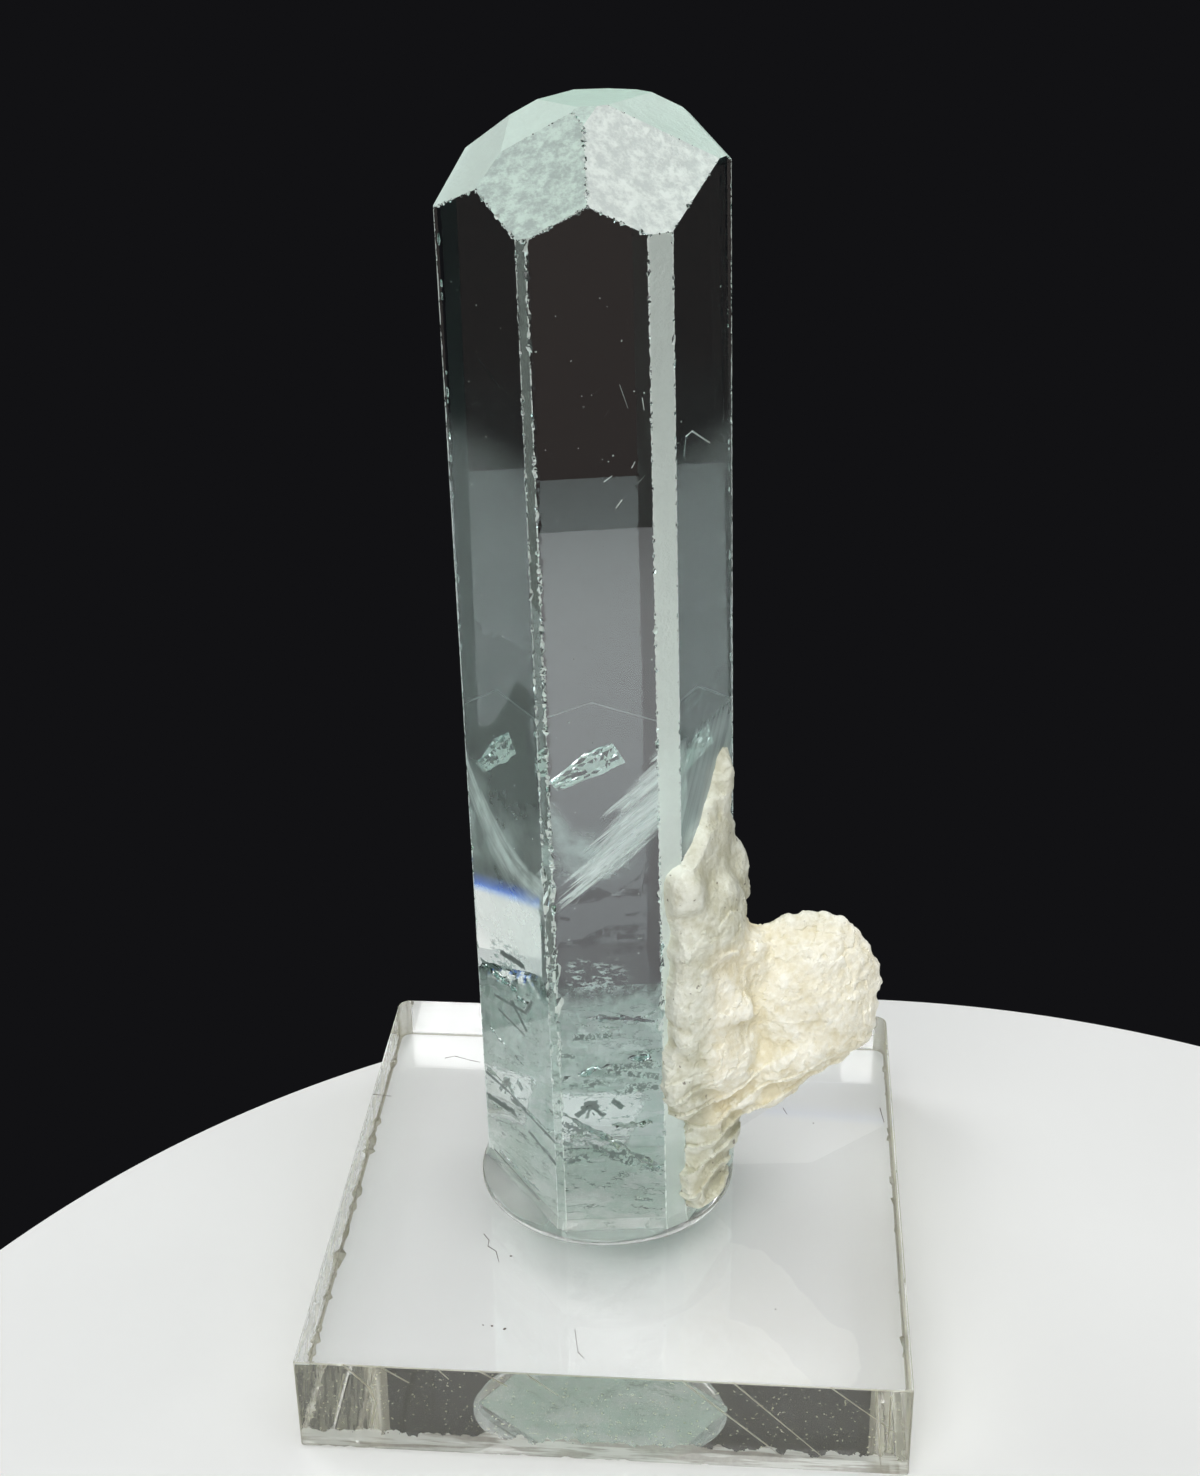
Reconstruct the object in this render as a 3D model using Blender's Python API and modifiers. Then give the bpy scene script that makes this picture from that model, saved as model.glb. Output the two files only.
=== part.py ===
"""Aquamarine crystal with feldspar matrix, glued upright on a clear acrylic block.

Units are metres, +Z is up and the front faces -Y.  The origin is the middle of
the block's underside.  Four separate solids are made: the block, the glue that
holds the foot, the beryl crystal, and the feldspar that it grew from.  Pieces
that touch in the real thing keep a small gap here.
"""
import math
import random

import bmesh
import bpy
from mathutils import Euler, Matrix, Vector, noise

MM = 0.001
CONTACT_GAP = 0.3 * MM

# Acrylic block
BLOCK_WIDTH = 35.0 * MM
BLOCK_DEPTH = 37.0 * MM
BLOCK_HEIGHT = 6.35 * MM
BLOCK_BEVEL = 0.15 * MM
BEVELLED_ABOVE = 60.0
BACK_CORNER_RADIUS = 0.8 * MM
BACK_CORNER_SEGMENTS = 4

# Glue pad: a low round drop under and around the foot of the crystal
PAD_CENTRE = Vector((-1.0 * MM, 0.95 * MM, 0.0))
PAD_RADIUS = 8.3 * MM
PAD_RIM_RADIUS = 0.32 * MM
PAD_RIM_ANGLES = (75.0, 42.0, 9.0, -24.0, -57.0, -90.0)
PAD_SHOULDER_WIDTH = 1.5 * MM
PAD_HEIGHT = 1.0 * MM
PAD_FLOOR = 0.35 * MM
PAD_SEGMENTS = 56

# Crystal axis: where it leaves the block, how it leans, and where its front faces
AXIS_FOOT = Vector((-0.8 * MM, 1.2 * MM, BLOCK_HEIGHT))
AXIS_LEAN = Vector((-0.0176, 0.0353, 1.0))
FRONT_AZIMUTH = -83.5
CRYSTAL_FOOT = CONTACT_GAP + PAD_FLOOR + CONTACT_GAP
UPRIGHT = 90.0

# The bar that the crystal is cut from, wider and taller than it on every side
BAR_WIDTH = 30.0 * MM
BAR_HEIGHT = 160.0 * MM

# Prism faces: turn from the front in degrees, and distance from the axis
PRISM_FACES = {0: 7.25 * MM, 60: 7.03 * MM, 120: 6.82 * MM,
               180: 7.0 * MM, 240: 7.24 * MM, 300: 6.55 * MM}

# Narrow faces that blunt four of the prism's edges
EDGE_FACES = {30: 7.82 * MM, -30: 7.8 * MM, 90: 7.85 * MM, -90: 7.88 * MM}

# End faces of a beryl: turn, slope, and height at which the face meets the axis
STEEP = 44.93
SHALLOW = 29.94
END_FACES = [
    (-30, STEEP, 67.9 * MM), (30, STEEP, 68.0 * MM), (-78, 46.2, 68.48 * MM),
    (90, STEEP, 70.5 * MM), (-150, STEEP, 70.6 * MM), (150, STEEP, 70.75 * MM),
    (0, SHALLOW, 66.98 * MM), (60, SHALLOW, 67.0 * MM), (120, SHALLOW, 68.5 * MM),
    (180, SHALLOW, 68.55 * MM), (240, SHALLOW, 67.25 * MM), (300, SHALLOW, 66.5 * MM),
    (0, 0.0, 65.8 * MM),
]

# Chips along the prism edges: the two faces' turns, chip count, smallest and
# largest chip radius, and the stretch of the edge in heights above the block
EDGE_CHIPS = [
    (0, -30, 13, 0.22 * MM, 0.42 * MM, (3.0 * MM, 58.0 * MM)),
    (-30, 300, 8, 0.2 * MM, 0.36 * MM, (4.0 * MM, 56.0 * MM)),
    (0, 30, 9, 0.2 * MM, 0.34 * MM, (22.0 * MM, 58.0 * MM)),
    (30, 60, 6, 0.2 * MM, 0.36 * MM, (26.0 * MM, 58.0 * MM)),
    (60, 90, 8, 0.22 * MM, 0.4 * MM, (31.0 * MM, 60.0 * MM)),
    (300, -90, 9, 0.2 * MM, 0.38 * MM, (4.0 * MM, 57.0 * MM)),
    (120, 180, 6, 0.25 * MM, 0.45 * MM, (6.0 * MM, 58.0 * MM)),
    (180, 240, 6, 0.25 * MM, 0.45 * MM, (6.0 * MM, 58.0 * MM)),
]

# Every chip: how far its ball stands out of the edge, its stretch and roughness,
# and the middle part of its share of the edge that it may lie in
CHIP_BITE = 0.55
CHIP_STRETCH = (0.75, 1.3)
CHIP_ROUGHNESS = (0.86, 1.14)
CHIP_SHARE = (0.18, 0.82)

# Chips along the block's long edges: side (x sign, z sign), count and radii
BLOCK_CHIPS = [
    (-1, -1, 11, 0.4 * MM, 0.85 * MM),
    (1, -1, 6, 0.35 * MM, 0.7 * MM),
    (-1, 1, 5, 0.25 * MM, 0.45 * MM),
    (1, 1, 5, 0.25 * MM, 0.45 * MM),
]
BLOCK_CHIP_LIFT = 0.385
BLOCK_CHIP_RUN = (-0.47, 0.44)

# Feldspar lumps in millimetres: centre, radii, turn in degrees about X, Y and Z
FELDSPAR_LUMPS = [
    ((4.7, -2.0, 28.8), (1.2, 3.6, 3.4), (0, 0, -23)),
    ((3.9, -4.0, 29.6), (1.6, 1.4, 1.7), (8, 6, -30)),
    ((6.4, 1.2, 28.3), (1.1, 1.7, 1.8), (0, 0, 0)),
    ((6.5, 0.8, 26.6), (1.1, 1.5, 1.3), (0, 10, 0)),
    ((5.2, -2.2, 26.0), (2.3, 3.5, 3.6), (0, 0, -20)),
    ((5.2, -2.0, 22.0), (2.6, 4.2, 4.4), (0, 0, -20)),
    ((6.0, -1.6, 18.2), (3.1, 4.4, 3.6), (0, -20, -20)),
    ((3.9, -4.6, 16.8), (1.5, 1.7, 3.3), (0, 0, -15)),
    ((4.2, -4.8, 20.4), (1.1, 1.3, 1.8), (0, 0, 0)),
    ((5.6, -2.6, 12.4), (1.6, 2.5, 3.3), (0, 0, -20)),
    ((5.2, -3.4, 9.4), (1.4, 2.2, 2.9), (0, 0, -20)),
    ((6.0, -4.6, 17.9), (1.5, 1.1, 1.0), (10, 25, 0)),
    ((7.3, -3.9, 21.6), (0.75, 0.8, 0.95), (0, -30, 0)),
    ((7.6, -1.2, 23.6), (1.6, 2.0, 1.9), (0, 30, 0)),
    ((10.2, -1.3, 17.3), (4.9, 2.9, 2.0), (0, -38, 0)),
    ((8.2, -0.8, 15.0), (3.6, 3.2, 1.7), (0, -24, 0)),
]

# Spike of feldspar up the crystal's right edge, in millimetres
SPIKE_TIP = Vector((6.5, 2.5, 38.2))
SPIKE_ROOT = Vector((5.0, -1.3, 28.6))
SPIKE_HALF_WIDTH = 3.7
SPIKE_HALF_THICKNESS = 1.35
SPIKE_SIDES = 7
SPIKE_TIP_SHARE = 0.1

# Fan of blades, in millimetres: the blades start at the root and end on an
# ellipse about the centre
FAN_ROOT = Vector((7.9, -1.9, 20.2))
FAN_CENTRE = Vector((11.6, -1.4, 20.9))
FAN_HALF_SIZES = (4.45, 5.45)
FAN_THICKNESS = 1.9
FAN_CORE_SHARE = 0.9
FAN_RIGHT = Vector((0.985, 0.17, 0.0))
FAN_TILT = 15.0
BLADE_ANGLES = range(118, -40, -14)
BLADE_HALF_WIDTH = 1.0
BLADE_HALF_THICKNESS = 1.0
BLADE_MIDDLE_SHARE = 0.56
BLADE_LENGTH_SHARE = 0.46

# Feldspar surface
FELDSPAR_VOXEL = 0.42 * MM
FELDSPAR_TRIANGLES = 4600
LUMP_SIZE = 2.6 * MM
LUMP_DEPTH = 0.3 * MM
LUMP_ROUGHNESS = 0.9
LUMP_SCALE_STEP = 2.1
LUMP_LAYERS = 3
LEDGE_PITCH = 1.3 * MM
LEDGE_DEPTH = 0.42 * MM
LEDGE_WAVE = 0.6
LEDGE_WAVE_LENGTH = 2.6 * MM
LEDGE_TOP = 19.5 * MM
LEDGE_FADE = 4.0 * MM
LEDGE_DIRECTION = Vector((-0.5, 0.1, 0.85)).normalized()

# Materials: colour, roughness, transmission and index of refraction
ACRYLIC = ((0.96, 0.97, 0.96), 0.03, 1.0, 1.49)
GLUE = ((0.95, 0.95, 0.97), 0.05, 1.0, 1.5)
BERYL = ((0.78, 0.92, 0.9), 0.04, 1.0, 1.577)
FELDSPAR = ((0.82, 0.75, 0.62), 0.55, 0.0, 1.53)


def clear_scene():
    for existing in list(bpy.data.objects):
        bpy.data.objects.remove(existing, do_unlink=True)


def new_collection(name):
    collection = bpy.data.collections.new(name)
    bpy.context.scene.collection.children.link(collection)
    return collection


def plain_material(name, colour, roughness, transmission, ior):
    material = bpy.data.materials.new(name)
    material.use_nodes = True
    shader = material.node_tree.nodes["Principled BSDF"]
    shader.inputs["Base Color"].default_value = (*colour, 1.0)
    shader.inputs["Roughness"].default_value = roughness
    shader.inputs["Transmission Weight"].default_value = transmission
    shader.inputs["IOR"].default_value = ior
    material.diffuse_color = (*colour, 1.0)
    return material


def object_from_bmesh(name, bm, collection, material=None):
    bmesh.ops.recalc_face_normals(bm, faces=bm.faces)
    mesh = bpy.data.meshes.new(name)
    bm.to_mesh(mesh)
    bm.free()
    if material is not None:
        mesh.materials.append(material)
    made = bpy.data.objects.new(name, mesh)
    collection.objects.link(made)
    return made


def mark_as_cutter(cutter):
    cutter.hide_render = True
    cutter.display_type = "WIRE"


def cut_away(target, cutter):
    mark_as_cutter(cutter)
    modifier = target.modifiers.new("cut " + cutter.name, "BOOLEAN")
    modifier.operation = "DIFFERENCE"
    modifier.object = cutter


def settle_mesh(target):
    """Replace the object's mesh by its evaluated mesh and drop the modifiers."""
    graph = bpy.context.evaluated_depsgraph_get()
    evaluated = target.evaluated_get(graph)
    mesh = bpy.data.meshes.new_from_object(evaluated, depsgraph=graph)
    target.modifiers.clear()
    target.data = mesh
    return mesh


def turned(azimuth_turn, slope):
    """Unit normal of a face, from its turn about the axis and its slope."""
    azimuth = math.radians(FRONT_AZIMUTH + azimuth_turn)
    tilt = math.radians(slope)
    return Vector((math.sin(tilt) * math.cos(azimuth),
                   math.sin(tilt) * math.sin(azimuth), math.cos(tilt)))


def axis_matrix():
    """The crystal's own frame: Z along its axis, origin where it leaves the block."""
    up = AXIS_LEAN.normalized()
    right = Vector((0.0, 1.0, 0.0)).cross(up).normalized()
    back = up.cross(right)
    frame = Matrix((right, back, up)).transposed().to_4x4()
    return Matrix.Translation(AXIS_FOOT) @ frame


def keep_inside(bm, normal, distance):
    """Cut the convex body at a plane, drop what is outside, and close the cut."""
    geometry = bm.verts[:] + bm.edges[:] + bm.faces[:]
    bmesh.ops.bisect_plane(bm, geom=geometry, plane_co=normal * distance,
                           plane_no=normal, clear_outer=True)
    rim = [edge for edge in bm.edges if edge.is_boundary]
    if rim:
        bmesh.ops.contextual_create(bm, geom=rim)


def crystal_bmesh(foot, grow=0.0):
    """The faced prism with its end, as one convex body, each face moved out by grow."""
    bm = bmesh.new()
    bmesh.ops.create_cube(bm, size=1.0)
    bmesh.ops.scale(bm, vec=(BAR_WIDTH, BAR_WIDTH, BAR_HEIGHT), verts=bm.verts)
    for turn, distance in list(PRISM_FACES.items()) + list(EDGE_FACES.items()):
        keep_inside(bm, turned(turn, UPRIGHT), distance + grow)
    for turn, slope, height in END_FACES:
        keep_inside(bm, turned(turn, slope), height * math.cos(math.radians(slope)) + grow)
    bmesh.ops.transform(bm, matrix=axis_matrix(), verts=bm.verts)
    keep_inside(bm, Vector((0.0, 0.0, -1.0)), grow - BLOCK_HEIGHT - foot)
    return bm


def edge_point(turn_a, turn_b, height):
    """Point of the edge between two upright faces, at a height up the axis."""
    distances = {**PRISM_FACES, **EDGE_FACES}
    first = turned(turn_a, UPRIGHT)
    second = turned(turn_b, UPRIGHT)
    both = Matrix(((first.x, first.y), (second.x, second.y)))
    across = both.inverted() @ Vector((distances[turn_a], distances[turn_b]))
    return Vector((across.x, across.y, height))


def add_chip(bm, centre, radius, rng):
    """One rough ball that bites a shell-shaped chip from whatever it meets."""
    made = bmesh.ops.create_icosphere(bm, subdivisions=1, radius=radius)
    stretch = Vector([rng.uniform(*CHIP_STRETCH) for _ in range(3)])
    turn = Euler([rng.uniform(0.0, math.tau) for _ in range(3)]).to_matrix()
    for vert in made["verts"]:
        grown = vert.co * rng.uniform(*CHIP_ROUGHNESS)
        vert.co = centre + turn @ Vector(a * b for a, b in zip(grown, stretch))


def spread_along(count, span, rng):
    """Places along a span, one in each equal share, so that none coincide."""
    share = (span[1] - span[0]) / count
    return [span[0] + share * (index + rng.uniform(*CHIP_SHARE)) for index in range(count)]


def build_crystal(parts, cutters, material):
    crystal = object_from_bmesh("aquamarine_crystal", crystal_bmesh(CRYSTAL_FOOT),
                                parts, material)
    rng = random.Random(11)
    chips = bmesh.new()
    own_frame = axis_matrix()
    for turn_a, turn_b, count, smallest, largest, span in EDGE_CHIPS:
        outward = (turned(turn_a, UPRIGHT) + turned(turn_b, UPRIGHT)).normalized()
        for height in spread_along(count, span, rng):
            radius = rng.uniform(smallest, largest)
            centre = edge_point(turn_a, turn_b, height) + outward * radius * CHIP_BITE
            add_chip(chips, own_frame @ centre, radius, rng)
    cut_away(crystal, object_from_bmesh("crystal_chips", chips, cutters))
    return crystal


def build_block(parts, cutters, material):
    bm = bmesh.new()
    bmesh.ops.create_cube(bm, size=1.0)
    bmesh.ops.scale(bm, vec=(BLOCK_WIDTH, BLOCK_DEPTH, BLOCK_HEIGHT), verts=bm.verts)
    bmesh.ops.translate(bm, vec=(0.0, 0.0, BLOCK_HEIGHT / 2), verts=bm.verts)
    back_corners = [edge for edge in bm.edges
                    if all(vert.co.y > 0.0 for vert in edge.verts)
                    and abs(edge.verts[0].co.z - edge.verts[1].co.z) > BLOCK_HEIGHT / 2]
    bmesh.ops.bevel(bm, geom=back_corners, offset=BACK_CORNER_RADIUS,
                    offset_type="OFFSET", segments=BACK_CORNER_SEGMENTS, profile=0.5,
                    affect="EDGES")
    block = object_from_bmesh("clear_base", bm, parts, material)
    bevel = block.modifiers.new("edge bevel", "BEVEL")
    bevel.width = BLOCK_BEVEL
    bevel.segments = 1
    bevel.limit_method = "ANGLE"
    bevel.angle_limit = math.radians(BEVELLED_ABOVE)

    rng = random.Random(5)
    chips = bmesh.new()
    run = [share * BLOCK_DEPTH for share in BLOCK_CHIP_RUN]
    for side, top, count, smallest, largest in BLOCK_CHIPS:
        edge_height = BLOCK_HEIGHT if top > 0 else 0.0
        for along in spread_along(count, run, rng):
            radius = rng.uniform(smallest, largest)
            lift = radius * BLOCK_CHIP_LIFT
            centre = Vector((side * (BLOCK_WIDTH / 2 + lift), along, edge_height + top * lift))
            add_chip(chips, centre, radius, rng)
    cut_away(block, object_from_bmesh("block_chips", chips, cutters))
    return block


def build_pad(parts, cutters, material):
    """A turned drop with a round rim, less the space that the crystal's foot takes."""
    underside = BLOCK_HEIGHT + CONTACT_GAP
    top = BLOCK_HEIGHT + PAD_HEIGHT
    rim_middle = underside + PAD_RIM_RADIUS
    profile = [(0.0, top), (PAD_RADIUS - PAD_SHOULDER_WIDTH, top)]
    for angle in PAD_RIM_ANGLES:
        turn = math.radians(angle)
        reach = PAD_RADIUS - PAD_RIM_RADIUS + PAD_RIM_RADIUS * math.cos(turn)
        profile.append((reach, rim_middle + PAD_RIM_RADIUS * math.sin(turn)))
    profile.append((0.0, underside))

    bm = bmesh.new()
    verts = [bm.verts.new((reach, 0.0, height)) for reach, height in profile]
    for lower, upper in zip(verts[:-1], verts[1:]):
        bm.edges.new((lower, upper))
    bmesh.ops.spin(bm, geom=bm.verts[:] + bm.edges[:], cent=(0, 0, 0), axis=(0, 0, 1),
                   angle=math.tau, steps=PAD_SEGMENTS, use_merge=True)
    bmesh.ops.remove_doubles(bm, verts=bm.verts, dist=1e-6)
    bmesh.ops.translate(bm, vec=PAD_CENTRE, verts=bm.verts)
    pad = object_from_bmesh("glue_pad", bm, parts, material)

    foot_space = crystal_bmesh(CRYSTAL_FOOT, CONTACT_GAP)
    cut_away(pad, object_from_bmesh("foot_space", foot_space, cutters))
    return pad


def add_lump(bm, centre, radii, turn):
    made = bmesh.ops.create_icosphere(bm, subdivisions=3, radius=1.0)
    place = (Matrix.Translation(Vector(centre) * MM)
             @ Euler([math.radians(angle) for angle in turn]).to_matrix().to_4x4()
             @ Matrix.Diagonal((*[radius * MM for radius in radii], 1.0)))
    bmesh.ops.transform(bm, matrix=place, verts=made["verts"])


def add_spike(bm):
    """A flat wedge that lies against the crystal's right face and ends in a point."""
    made = bmesh.ops.create_cone(bm, cap_ends=True, segments=SPIKE_SIDES, radius1=1.0,
                                 radius2=SPIKE_TIP_SHARE, depth=1.0)
    along = (SPIKE_TIP - SPIKE_ROOT) * MM
    outward = turned(60, UPRIGHT)
    across = along.cross(outward).normalized()
    thick = across.cross(along).normalized()
    frame = Matrix((across * SPIKE_HALF_WIDTH * MM, thick * SPIKE_HALF_THICKNESS * MM,
                    along)).transposed().to_4x4()
    middle = (SPIKE_TIP + SPIKE_ROOT) * MM / 2
    bmesh.ops.transform(bm, matrix=Matrix.Translation(middle) @ frame, verts=made["verts"])


def add_fan(bm):
    """Blades that spread from one root and end on an ellipse, round a thick middle."""
    right = FAN_RIGHT.normalized()
    tilt = math.radians(FAN_TILT)
    up = Vector((0.0, math.sin(tilt), math.cos(tilt)))
    up = (up - right * up.dot(right)).normalized()
    facing = right.cross(up)
    plane = Matrix((right, up, facing)).transposed().to_4x4()
    wide, high = FAN_HALF_SIZES

    core = bmesh.ops.create_icosphere(bm, subdivisions=3, radius=1.0)
    core_size = Matrix.Diagonal((wide * FAN_CORE_SHARE * MM, high * FAN_CORE_SHARE * MM,
                                 FAN_THICKNESS * MM, 1.0))
    core_place = Matrix.Translation(FAN_CENTRE * MM) @ plane @ core_size
    bmesh.ops.transform(bm, matrix=core_place, verts=core["verts"])

    for angle in BLADE_ANGLES:
        turn = math.radians(angle)
        rim = FAN_CENTRE + right * wide * math.cos(turn) + up * high * math.sin(turn)
        reach = rim - FAN_ROOT
        middle = FAN_ROOT + reach * BLADE_MIDDLE_SHARE
        along = reach.normalized()
        across = facing.cross(along).normalized()
        frame = Matrix((along, across, along.cross(across))).transposed().to_4x4()
        size = Matrix.Diagonal((reach.length * BLADE_LENGTH_SHARE * MM,
                                BLADE_HALF_WIDTH * MM, BLADE_HALF_THICKNESS * MM, 1.0))
        blade = bmesh.ops.create_icosphere(bm, subdivisions=3, radius=1.0)
        place = Matrix.Translation(middle * MM) @ frame @ size
        bmesh.ops.transform(bm, matrix=place, verts=blade["verts"])


def roughen_feldspar(mesh):
    """Lumps and sloping ledges, pushed in and out along the surface normals."""
    bm = bmesh.new()
    bm.from_mesh(mesh)
    bm.normal_update()
    moved = []
    for vert in bm.verts:
        lumps = noise.fractal(vert.co / LUMP_SIZE, LUMP_ROUGHNESS, LUMP_SCALE_STEP, LUMP_LAYERS)
        level = vert.co.dot(LEDGE_DIRECTION) / LEDGE_PITCH
        level += LEDGE_WAVE * noise.noise(vert.co / LEDGE_WAVE_LENGTH)
        fade = min(1.0, max(0.0, (LEDGE_TOP - vert.co.z) / LEDGE_FADE))
        ledge = fade * ((level % 1.0) - 0.5)
        moved.append(vert.co + vert.normal * (LUMP_DEPTH * lumps + LEDGE_DEPTH * ledge))
    for vert, place in zip(bm.verts, moved):
        vert.co = place
    bm.to_mesh(mesh)
    bm.free()


def keep_largest_body(mesh):
    """Drop the crumbs that a cut leaves beside the main body."""
    bm = bmesh.new()
    bm.from_mesh(mesh)
    waiting = set(bm.verts)
    bodies = []
    while waiting:
        body = {waiting.pop()}
        edge_of_body = list(body)
        while edge_of_body:
            vert = edge_of_body.pop()
            for edge in vert.link_edges:
                other = edge.other_vert(vert)
                if other in waiting:
                    waiting.discard(other)
                    body.add(other)
                    edge_of_body.append(other)
        bodies.append(body)
    bodies.sort(key=len, reverse=True)
    for body in bodies[1:]:
        bmesh.ops.delete(bm, geom=list(body), context="VERTS")
    bm.to_mesh(mesh)
    bm.free()


def build_feldspar(parts, cutters, material):
    bm = bmesh.new()
    for centre, radii, turn in FELDSPAR_LUMPS:
        add_lump(bm, centre, radii, turn)
    add_spike(bm)
    add_fan(bm)
    feldspar = object_from_bmesh("feldspar_matrix", bm, parts, material)
    remesh = feldspar.modifiers.new("one body", "REMESH")
    remesh.mode = "VOXEL"
    remesh.voxel_size = FELDSPAR_VOXEL
    roughened = settle_mesh(feldspar)
    roughen_feldspar(roughened)
    roughened.calc_loop_triangles()
    fewer = feldspar.modifiers.new("fewer faces", "DECIMATE")
    fewer.ratio = min(1.0, FELDSPAR_TRIANGLES / len(roughened.loop_triangles))
    settle_mesh(feldspar)

    crystal_space = crystal_bmesh(0.0, CONTACT_GAP)
    cut_away(feldspar, object_from_bmesh("crystal_space", crystal_space, cutters))
    pad_space = bmesh.new()
    space_top = BLOCK_HEIGHT + PAD_HEIGHT + CONTACT_GAP
    bmesh.ops.create_cone(pad_space, cap_ends=True, segments=PAD_SEGMENTS,
                          radius1=PAD_RADIUS + BLOCK_WIDTH, radius2=PAD_RADIUS + BLOCK_WIDTH,
                          depth=2 * space_top)
    cut_away(feldspar, object_from_bmesh("pad_space", pad_space, cutters))
    keep_largest_body(settle_mesh(feldspar))
    return feldspar


def main():
    clear_scene()
    parts = new_collection("aquamarine_specimen")
    cutters = new_collection("cutters")
    build_block(parts, cutters, plain_material("clear acrylic", *ACRYLIC))
    build_pad(parts, cutters, plain_material("clear glue", *GLUE))
    build_crystal(parts, cutters, plain_material("aquamarine", *BERYL))
    build_feldspar(parts, cutters, plain_material("cream feldspar", *FELDSPAR))


main()
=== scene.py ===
import math
import random

import bmesh
import bpy
from mathutils import Euler, Matrix, Vector, noise


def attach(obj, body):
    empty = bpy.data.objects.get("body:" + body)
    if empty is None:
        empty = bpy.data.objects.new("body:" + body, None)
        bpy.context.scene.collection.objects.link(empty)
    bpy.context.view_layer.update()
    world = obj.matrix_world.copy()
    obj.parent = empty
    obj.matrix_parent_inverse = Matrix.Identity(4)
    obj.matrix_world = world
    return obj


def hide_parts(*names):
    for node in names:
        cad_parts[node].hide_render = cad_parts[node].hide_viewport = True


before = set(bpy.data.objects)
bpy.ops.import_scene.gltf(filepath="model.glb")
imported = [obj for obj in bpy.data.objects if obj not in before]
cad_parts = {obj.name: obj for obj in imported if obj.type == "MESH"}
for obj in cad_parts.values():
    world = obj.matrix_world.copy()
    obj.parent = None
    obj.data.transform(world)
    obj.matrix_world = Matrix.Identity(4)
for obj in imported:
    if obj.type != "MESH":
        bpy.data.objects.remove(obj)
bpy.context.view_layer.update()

mm = 0.001
flushWithin = 0.002 * mm  # a face this close to a plane lies on it


class Wire:
    # an output socket, so that shader maths reads as plain expressions
    def __init__(self, finish, socket):
        self.finish = finish
        self.socket = socket

    def maths(self, operation, first, second):
        return self.finish.node("ShaderNodeMath", {"operation": operation}, {0: first, 1: second})

    def __add__(self, other):
        return self.maths("ADD", self, other)

    def __radd__(self, other):
        return self.maths("ADD", other, self)

    def __sub__(self, other):
        return self.maths("SUBTRACT", self, other)

    def __rsub__(self, other):
        return self.maths("SUBTRACT", other, self)

    def __mul__(self, other):
        return self.maths("MULTIPLY", self, other)

    def __rmul__(self, other):
        return self.maths("MULTIPLY", other, self)

    def __truediv__(self, other):
        return self.maths("DIVIDE", self, other)

    def __rtruediv__(self, other):
        return self.maths("DIVIDE", other, self)

    def clamped(self):
        return self.finish.node("ShaderNodeClamp", None, {0: self})

    def above(self, other):
        return self.maths("GREATER_THAN", self, other)

    def atLeast(self, other):
        return self.maths("MAXIMUM", self, other)

    def size(self):
        return self.finish.node("ShaderNodeMath", {"operation": "ABSOLUTE"}, {0: self})

    def fade(self, start, end):
        # 0 at start, 1 at end, smooth between
        return self.finish.node("ShaderNodeMapRange", {"interpolation_type": "SMOOTHSTEP"},
                                {0: self, 1: start, 2: end})

    def within(self, low, full, thins, gone):
        # rises from low to full, and falls from thins to gone
        return self.fade(low, full) * (1 - self.fade(thins, gone))

    def ridge(self, near, far):
        # 1 close to zero, 0 further away than far
        return 1 - self.size().fade(near, far)


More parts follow.
